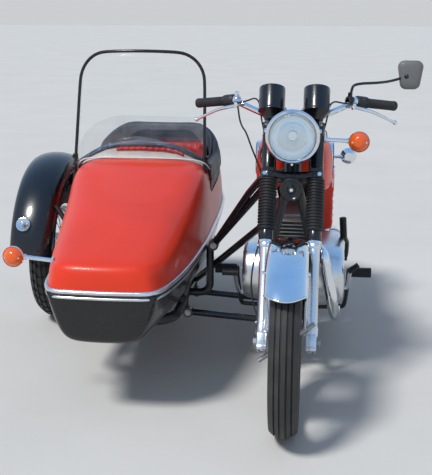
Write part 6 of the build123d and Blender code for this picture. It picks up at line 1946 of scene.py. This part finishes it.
def makeShocks():
    mesh = bmesh.new()
    cover, steps = shockSet["cover"], shockSet["turns"] * shockSet["steps"]
    for side in (-1, 1):
        low, high = bikeLine(shockSet["foot"], shockSet["head"], side=side)
        placing = basis(low, high - low, (1, 0, 0))
        length = (high - low).length
        addTurned(mesh, [(0.0, 0.0), (0.014, 0.0), (0.019, 0.010), (0.020, 0.018), (0.020, 0.100),
                         (0.024, 0.104), (0.036, 0.106), (0.036, 0.112), (0.024, 0.114), (0.014, 0.116),
                         (0.014, length - 0.110), (0.036, length - 0.108), (cover, length - 0.104),
                         (cover, length - 0.020), (0.034, length - 0.014), (0.018, length - 0.006),
                         (0.0, length - 0.004)], placing, 48, 0)
        coil = [placing @ polar(shockSet["coil"], 2 * math.pi * index / shockSet["steps"],
                                0.116 + (length - 0.146) * index / steps) for index in range(steps + 1)]
        addTube(mesh, coil, shockSet["wire"], 0, 3, 3, False, 2)
        for eye, inward, outward in ((low, 0.034, 0.012), (high, 0.020, 0.010)):
            addRod(mesh, eye - Vector((side * inward, 0, 0)), eye + Vector((side * outward, 0, 0)),
                   0.011, 1, 24)
            addRod(mesh, eye - Vector((side * 0.012, 0, 0)), eye + Vector((side * 0.010, 0, 0)), 0.017, 2, 32)
            addBolt(mesh, eye + Vector((side * outward, 0, 0)), (side, 0, 0), 0.008, 0.007, 1)
    newPiece("shockAbsorbers", mesh, ("chromePlate", "bareSteel", "bellowsRubber"), "root",
             ("shock_absorbers",))


pedalSet = {"peg": 0.020, "passengerPeg": 0.015, "kickX": 0.212, "kickPeg": 0.014, "rod": 0.009,
            "lever": 0.007, "pedal": 0.008}


def makeFootControls():
    mesh = bmesh.new()
    settings = pedalSet

    def rubber(start, end, radius, ridges=12):
        # A ribbed rubber between two points, closed at both ends
        length = (Vector(end) - Vector(start)).length
        pitch = length / ridges
        shape = [(0.0, 0.0), (radius - 0.003, 0.0)]
        for index in range(ridges):
            shape += [(radius - 0.0025, (index + 0.1) * pitch), (radius, (index + 0.3) * pitch),
                      (radius, (index + 0.7) * pitch), (radius - 0.0025, (index + 0.9) * pitch)]
        shape += [(radius - 0.001, length - 0.001), (radius - 0.004, length), (0.0, length)]
        addTurned(mesh, shape, basis(start, Vector(end) - Vector(start)), 28, 1)

    for side in (-1, 1):
        rubber(onBike(side * 0.220, 0.700, 0.352), onBike(side * 0.305, 0.700, 0.352), settings["peg"])
        addRod(mesh, onBike(side * 0.212, 0.700, 0.352), onBike(side * 0.222, 0.700, 0.352), 0.0165, 0, 6)
        addTube(mesh, bikeLine((0.062, 0.800, 0.172), (0.190, 0.800, 0.177), (0.206, 0.797, 0.180),
                               (0.212, 0.780, 0.210), (0.218, 0.720, 0.312), (0.218, 0.702, 0.335),
                               (0.218, 0.700, 0.360), side=side), settings["rod"])
        # The passenger's peg, folded up on its bracket
        rubber(onBike(side * 0.146, 1.080, 0.334), onBike(side * 0.146, 1.080, 0.408),
               settings["passengerPeg"], 9)
        addRod(mesh, onBike(side * 0.092, 1.060, 0.335), onBike(side * 0.152, 1.080, 0.330), settings["rod"])
        addRod(mesh, onBike(side * 0.146, 1.080, 0.320), onBike(side * 0.146, 1.080, 0.336), 0.013, 0, 6)
    # Kickstarter with its boss and pinch bolt
    kick = settings["kickX"]
    addTube(mesh, bikeLine((0.192, 0.850, 0.372), (kick - 0.008, 0.850, 0.372), (kick, 0.846, 0.380),
                           (kick, 0.803, 0.446), (kick - 0.003, 0.794, 0.455), (kick - 0.016, 0.752, 0.488)),
            settings["rod"])
    addRod(mesh, onBike(0.196, 0.850, 0.372), onBike(kick + 0.004, 0.850, 0.372), 0.014, 0, 24)
    rubber(onBike(kick - 0.016, 0.752, 0.478), onBike(kick - 0.022, 0.744, 0.560), settings["kickPeg"], 10)
    # Gear lever and brake pedal
    addTube(mesh, bikeLine((0.192, 0.620, 0.310), (0.208, 0.620, 0.310), (0.214, 0.614, 0.317),
                           (0.216, 0.560, 0.379), (0.218, 0.545, 0.396)), settings["lever"], 2)
    rubber(onBike(0.212, 0.541, 0.400), onBike(0.256, 0.541, 0.400), 0.011, 6)
    addTube(mesh, bikeLine((-0.118, 0.760, 0.236), (-0.206, 0.760, 0.236), (-0.214, 0.752, 0.240),
                           (-0.214, 0.650, 0.295), (-0.214, 0.630, 0.308), (-0.214, 0.540, 0.380)),
            settings["pedal"], 2)
    rubber(onBike(-0.200, 0.536, 0.382), onBike(-0.262, 0.536, 0.382), 0.012, 7)
    newPiece("footControls", mesh, ("framePaint", "bellowsRubber", "chromePlate"), "root",
             ("foot_controls",))


makeRearMudguard()
makeShocks()
makeFootControls()
print("rear made")


# Lamps on the root
tailSet = {"place": (0, 1.712, 0.600), "carAt": 150, "positionAt": 28, "onGuard": 0.436, "glass": 0.0248,
           "glassRibs": 7}


def onCarGuard(x, degrees):
    # A direction from the sidecar's hub, forwards at 0 and up at 90, and the place on its mudguard
    turn = math.radians(degrees)
    out = Vector((0, -math.cos(turn), math.sin(turn)))
    return out, carHub + Vector((x, 0, 0)) + out * tailSet["onGuard"]


def makeRootLamps():
    mesh = bmesh.new()
    middle = cockpitSet["midX"]
    # columns: lens centre, facing, root of the stalk
    for centre, facing, root in (((middle - 0.294, 0.035, 0.553), (0, -1, 0), (middle - 0.160, 0.062, 0.540)),
                                 ((0.222, 1.315, 0.716), (0, 1, 0), (0.105, 1.300, 0.708)),
                                 ((middle - 0.289, 1.622, 0.560), (0, 1, 0), (middle - 0.196, 1.590, 0.556))):
        addIndicator(mesh, onBike(*centre), facing, onBike(*root))
    # Motorcycle's tail lamp on its carrier and the sidecar's own
    tail = basis(onBike(*tailSet["place"]), (0, 1, 0), (1, 0, 0))
    addTurned(mesh, [(0.0, -0.050), (0.030, -0.050), (0.036, -0.040), (0.038, -0.030), (0.038, 0.002),
                     (0.036, 0.003)],
              tail, 48, 2)
    addTurned(mesh, [(0.0365, 0.002), (0.037, 0.011), (0.034, 0.016), (0.024, 0.0235), (0.012, 0.0262),
                     (0.0, 0.027)],
              tail, 48, 3)
    addBox(mesh, (0.080, 0.006, 0.220), atBike(0, 1.703, 0.510), 0.002, 2)
    addBox(mesh, (0.044, 0.065, 0.032), atBike(0, 1.6725, 0.446), 0.003, 2)
    car = basis(onCarGuard(-0.006, tailSet["carAt"])[1], (0, 1, 0), (1, 0, 0))
    addTurned(mesh, [(0.0, -0.060), (0.022, -0.060), (0.029, -0.040), (0.030, 0.0), (0.0285, 0.002)],
              car, 40, 2)
    addTurned(mesh, [(0.0285, 0.001), (0.029, 0.007), (0.026, 0.012), (0.018, 0.0175), (0.0, 0.020)],
              car, 40, 3)
    for placing, reach, height in ((tail, 0.026, 0.021), (car, 0.020, 0.015)):
        for side in (-1, 1):
            addBolt(mesh, placing @ Vector((side * reach, 0, height)), (0, 1, 0), 0.0025, 0.003, 0)
    newPiece("rootLamps", mesh, ("chromePlate", "orangeLens", "blackPlastic", "redLens"), "root",
             ("lamp_bases", "indicator_lenses", "tail_lenses"))
    # Position lamp on the sidecar's mudguard: a chrome ring and a domed, ribbed glass over its bulb
    mesh = bmesh.new()
    out, spot = onCarGuard(-0.024, tailSet["positionAt"])
    place = basis(spot, out, (1, 0, 0))
    addTurned(mesh, [(0.0, 0.0), (0.029, 0.0), (0.030, 0.002), (0.030, 0.010), (0.0285, 0.0135),
                     (0.0255, 0.014), (0.0245, 0.011), (0.022, 0.006), (0.0, 0.004)], place, 48, 0)
    addTurned(mesh, [(0.0, 0.006), (0.006, 0.008), (0.007, 0.016), (0.004, 0.021), (0.0, 0.022)],
              place, 20, 1)
    newPiece("positionLamp", mesh, ("chromePlate", "plateWhite"), "root")
    mesh = bmesh.new()
    shape = [(0.0250, 0.011), (0.0252, 0.016)]
    for index in range(tailSet["glassRibs"]):
        share = index / tailSet["glassRibs"]
        for along, depth in ((share, 0.0006), (share + 0.07, 0.0)):
            shape.append((tailSet["glass"] * math.cos(along * 1.4) - depth,
                          0.018 + 0.015 * math.sin(along * 1.5)))
    addTurned(mesh, shape + [(0.0, 0.0335)], place, 48)
    newPiece("positionGlass", mesh, "lampGlass", "root", ("position_lamp",), sharp=60)


makeRootLamps()
print("root lamps made")


# Cables: the front brake's, and short runs at the instruments
brakeRoute = [(-0.160, -0.016, 0.706), (-0.143, 0.002, 0.662), (-0.122, 0.022, 0.618), (-0.103, 0.038, 0.570),
              (-0.093, 0.044, 0.510), (-0.091, 0.045, 0.440), (-0.096, 0.046, 0.375), (-0.108, 0.046, 0.320),
              (-0.121, 0.046, 0.262), (-0.126, 0.050, 0.205), (-0.120, 0.060, 0.150), (-0.106, 0.068, 0.100),
              (-0.086, 0.070, 0.062), (-0.070, 0.066, 0.042), (-0.054, 0.062, 0.032)]


def makeBrakeCable():
    pivot = alongGrip(-1, leverSet["bracket"]) + ahead * leverSet["reach"] * 0.8 + lifted(-leverSet["drop"])
    steps = ((0.006, 0.002, -0.004), (0.010, -0.006, -0.038), (0.020, -0.008, -0.072))
    route = [pivot + Vector(step) for step in steps] + legLine(*brakeRoute)
    curve = makeRun("brakeCable", route, 0.003, 4, 3, False, 12)
    cable = linkObject("brakeCable", curve)
    curve.materials.append(finishes["bellowsRubber"])
    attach(cable, "steering")
    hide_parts("brake_cable")


def makeCables():
    mesh = bmesh.new()
    # Speedometer drive from the left instrument down to the hub, clutch and throttle from the bar
    addTube(mesh, legLine((-0.075, -0.049, 0.742), (-0.080, -0.030, 0.700), (-0.112, 0.004, 0.640),
                          (-0.108, 0, 0.610), (-0.090, 0, 0.580)), 0.0032)
    for side, drop in ((1, 0.0), (-1, 0.012)):
        start = alongGrip(side, 0.150) + ahead * 0.018 + lifted(-0.006)
        addTube(mesh, [start, start + ahead * 0.030 - gripDirections[side] * 0.05,
                       onLegs(side * 0.120, -0.050, 0.812 + drop), onLegs(side * 0.110, -0.010, 0.750),
                       onLegs(side * 0.098, 0.004, 0.712), onLegs(side * 0.088, 0, 0.690)], 0.0028)
    newPiece("controlCables", mesh, "blackPlastic", "steering")


makeBrakeCable()
makeCables()
print("cables made")


# Fasteners and clamps on the CAD's own tubes
def makeFrameTrim():
    mesh = bmesh.new()
    for side in (-1, 1):
        for y, z in ((0.520, 0.172), (0.800, 0.172), (0.955, 0.172)):
            addBolt(mesh, onBike(side * 0.077, y, z), (side, 0, 0), 0.008, 0.006, 1)
        addTurned(mesh, [(0.0, 0.0), (0.016, 0.0), (0.016, 0.006), (0.012, 0.009), (0.0, 0.009)],
                  basis(onBike(side * 0.118, 0.985, 0.345), (side, 0, 0), (0, 1, 0)), 6, 1)
        addBolt(mesh, rearHub + Vector((side * 0.112, 0, 0)), (side, 0, 0), 0.012, 0.010, 1)
        # Chain adjuster and engine plates
        addBox(mesh, (0.004, 0.070, 0.090), atBike(side * 0.079, 0.470, 0.300), 0.001)
        addBolt(mesh, onBike(side * 0.081, 0.480, 0.320), (side, 0, 0), 0.007, 0.006, 1)
        addBox(mesh, (0.004, 0.060, 0.100), atBike(side * 0.079, 0.945, 0.230), 0.001)
        addRod(mesh, onBike(side * 0.092, 1.400, 0.292), onBike(side * 0.092, 1.440, 0.292), 0.004, 1)
    newPiece("frameTrim", mesh, ("framePaint", "bareSteel"), "root")
    mesh = bmesh.new()
    railRight, railLeft = cockpitSet["midX"] + 0.200, cockpitSet["midX"] - 0.200
    # Strut eyes and their bolts at both ends, and the body's rubber mounts
    for y in (0.610, 0.880):
        for x, z in ((-0.077, 0.172), (railRight + 0.014, 0.196)):
            addRod(mesh, onBike(x, y - 0.017, z), onBike(x, y + 0.017, z), 0.019, 0, 24)
            for side in (-1, 1):
                addBolt(mesh, onBike(x, y + side * 0.017, z), (0, side, 0), 0.009, 0.007, 1)
    upper = onBike(railRight + 0.110, 0.644, 0.462)
    addRod(mesh, upper - Vector((0, 0.022, 0)), upper + Vector((0, 0.022, 0)), 0.020, 0, 24)
    for side in (-1, 1):
        addBolt(mesh, upper + Vector((0, side * 0.022, 0)), (0, side, 0), 0.009, 0.007, 1)
    for y in (0.480, 1.400):
        for x in (railLeft, railRight):
            addTurned(mesh, [(0.016, 0.283), (0.022, 0.284), (0.024, 0.290), (0.022, 0.301), (0.016, 0.302)],
                      basis(onBike(x, y, 0), (0, 0, 1)), 24, 2)
    addBolt(mesh, carHub + Vector((-0.062, 0, 0)), (-1, 0, 0), 0.012, 0.010, 1)
    newPiece("chassisTrim", mesh, ("framePaint", "bareSteel", "bellowsRubber"), "root")


makeFrameTrim()
print("trim made")


# Floor, backdrop and light
lightSet = {"floorHalf": 200, "sunFrom": (-1.5, -2.0, 3.3), "sunPower": 2.5, "sunAngle": 12,
            "sunColour": (1.0, 0.975, 0.94), "skyPower": 0.42, "shownPower": 1.0}


def makeStage():
    mesh = bmesh.new()
    bmesh.ops.create_grid(mesh, x_segments=1, y_segments=1, size=lightSet["floorHalf"])
    data = bpy.data.meshes.new("floor")
    mesh.to_mesh(data)
    mesh.free()
    floor = linkObject("floor", data)
    hardFinish("floorPlaster", (0.74, 0.735, 0.72), 0.8, tone=0.06, dust=0.0, scale=1.2, bump=0.02,
               specular=0.2)
    data.materials.append(finishes["floorPlaster"])


def skyRamp(tree, height, stops):
    ramp = tree.nodes.new("ShaderNodeValToRGB")
    for element, (position, colour) in zip(ramp.color_ramp.elements, (stops[0], stops[-1])):
        element.position = position
        element.color = (*colour, 1)
    for position, colour in stops[1:-1]:
        ramp.color_ramp.elements.new(position).color = (*colour, 1)
    tree.links.new(height, ramp.inputs["Fac"])
    return ramp.outputs["Color"]


def makeLights():
    world = bpy.data.worlds.new("studio")
    bpy.context.scene.world = world
    world.use_nodes = True
    tree = world.node_tree
    lighting = tree.nodes["Background"]
    place = tree.nodes.new("ShaderNodeTexCoord")
    separate = tree.nodes.new("ShaderNodeSeparateXYZ")
    tree.links.new(place.outputs["Generated"], separate.inputs[0])
    height = mapRange(tree, separate.outputs["Z"], -1.0, 1.0)
    ground, haze = (0.60, 0.615, 0.635), (0.70, 0.74, 0.79)
    sky = skyRamp(tree, height, [(0.0, ground), (0.5, haze), (0.6, (0.72, 0.8, 0.9)),
                                 (1.0, (0.5, 0.66, 0.9))])
    tree.links.new(sky, lighting.inputs["Color"])
    lighting.inputs["Strength"].default_value = lightSet["skyPower"]
    # What the camera, metal and glass see: pale at the horizon and blue overhead
    shown = tree.nodes.new("ShaderNodeBackground")
    sky = skyRamp(tree, height, [(0.0, ground), (0.5, ground), (0.57, haze), (0.68, (0.42, 0.62, 0.88)),
                                 (1.0, (0.22, 0.44, 0.82))])
    tree.links.new(sky, shown.inputs["Color"])
    shown.inputs["Strength"].default_value = lightSet["shownPower"]
    path = tree.nodes.new("ShaderNodeLightPath")
    seen = mathNode(tree, "ADD", path.outputs["Is Camera Ray"], path.outputs["Is Glossy Ray"], True)
    seen = mathNode(tree, "ADD", seen, path.outputs["Is Transmission Ray"], True)
    mix = tree.nodes.new("ShaderNodeMixShader")
    tree.links.new(seen, mix.inputs[0])
    tree.links.new(lighting.outputs[0], mix.inputs[1])
    tree.links.new(shown.outputs[0], mix.inputs[2])
    tree.links.new(mix.outputs[0], tree.nodes["World Output"].inputs["Surface"])
    data = bpy.data.lights.new("keyLamp", "SUN")
    data.energy = lightSet["sunPower"]
    data.angle = math.radians(lightSet["sunAngle"])
    data.color = lightSet["sunColour"]
    lamp = linkObject("keyLamp", data)
    lamp.matrix_world = basis(lightSet["sunFrom"], lightSet["sunFrom"])


makeStage()
makeLights()
bpy.context.scene.view_settings.view_transform = "Standard"
print("stage and light set")
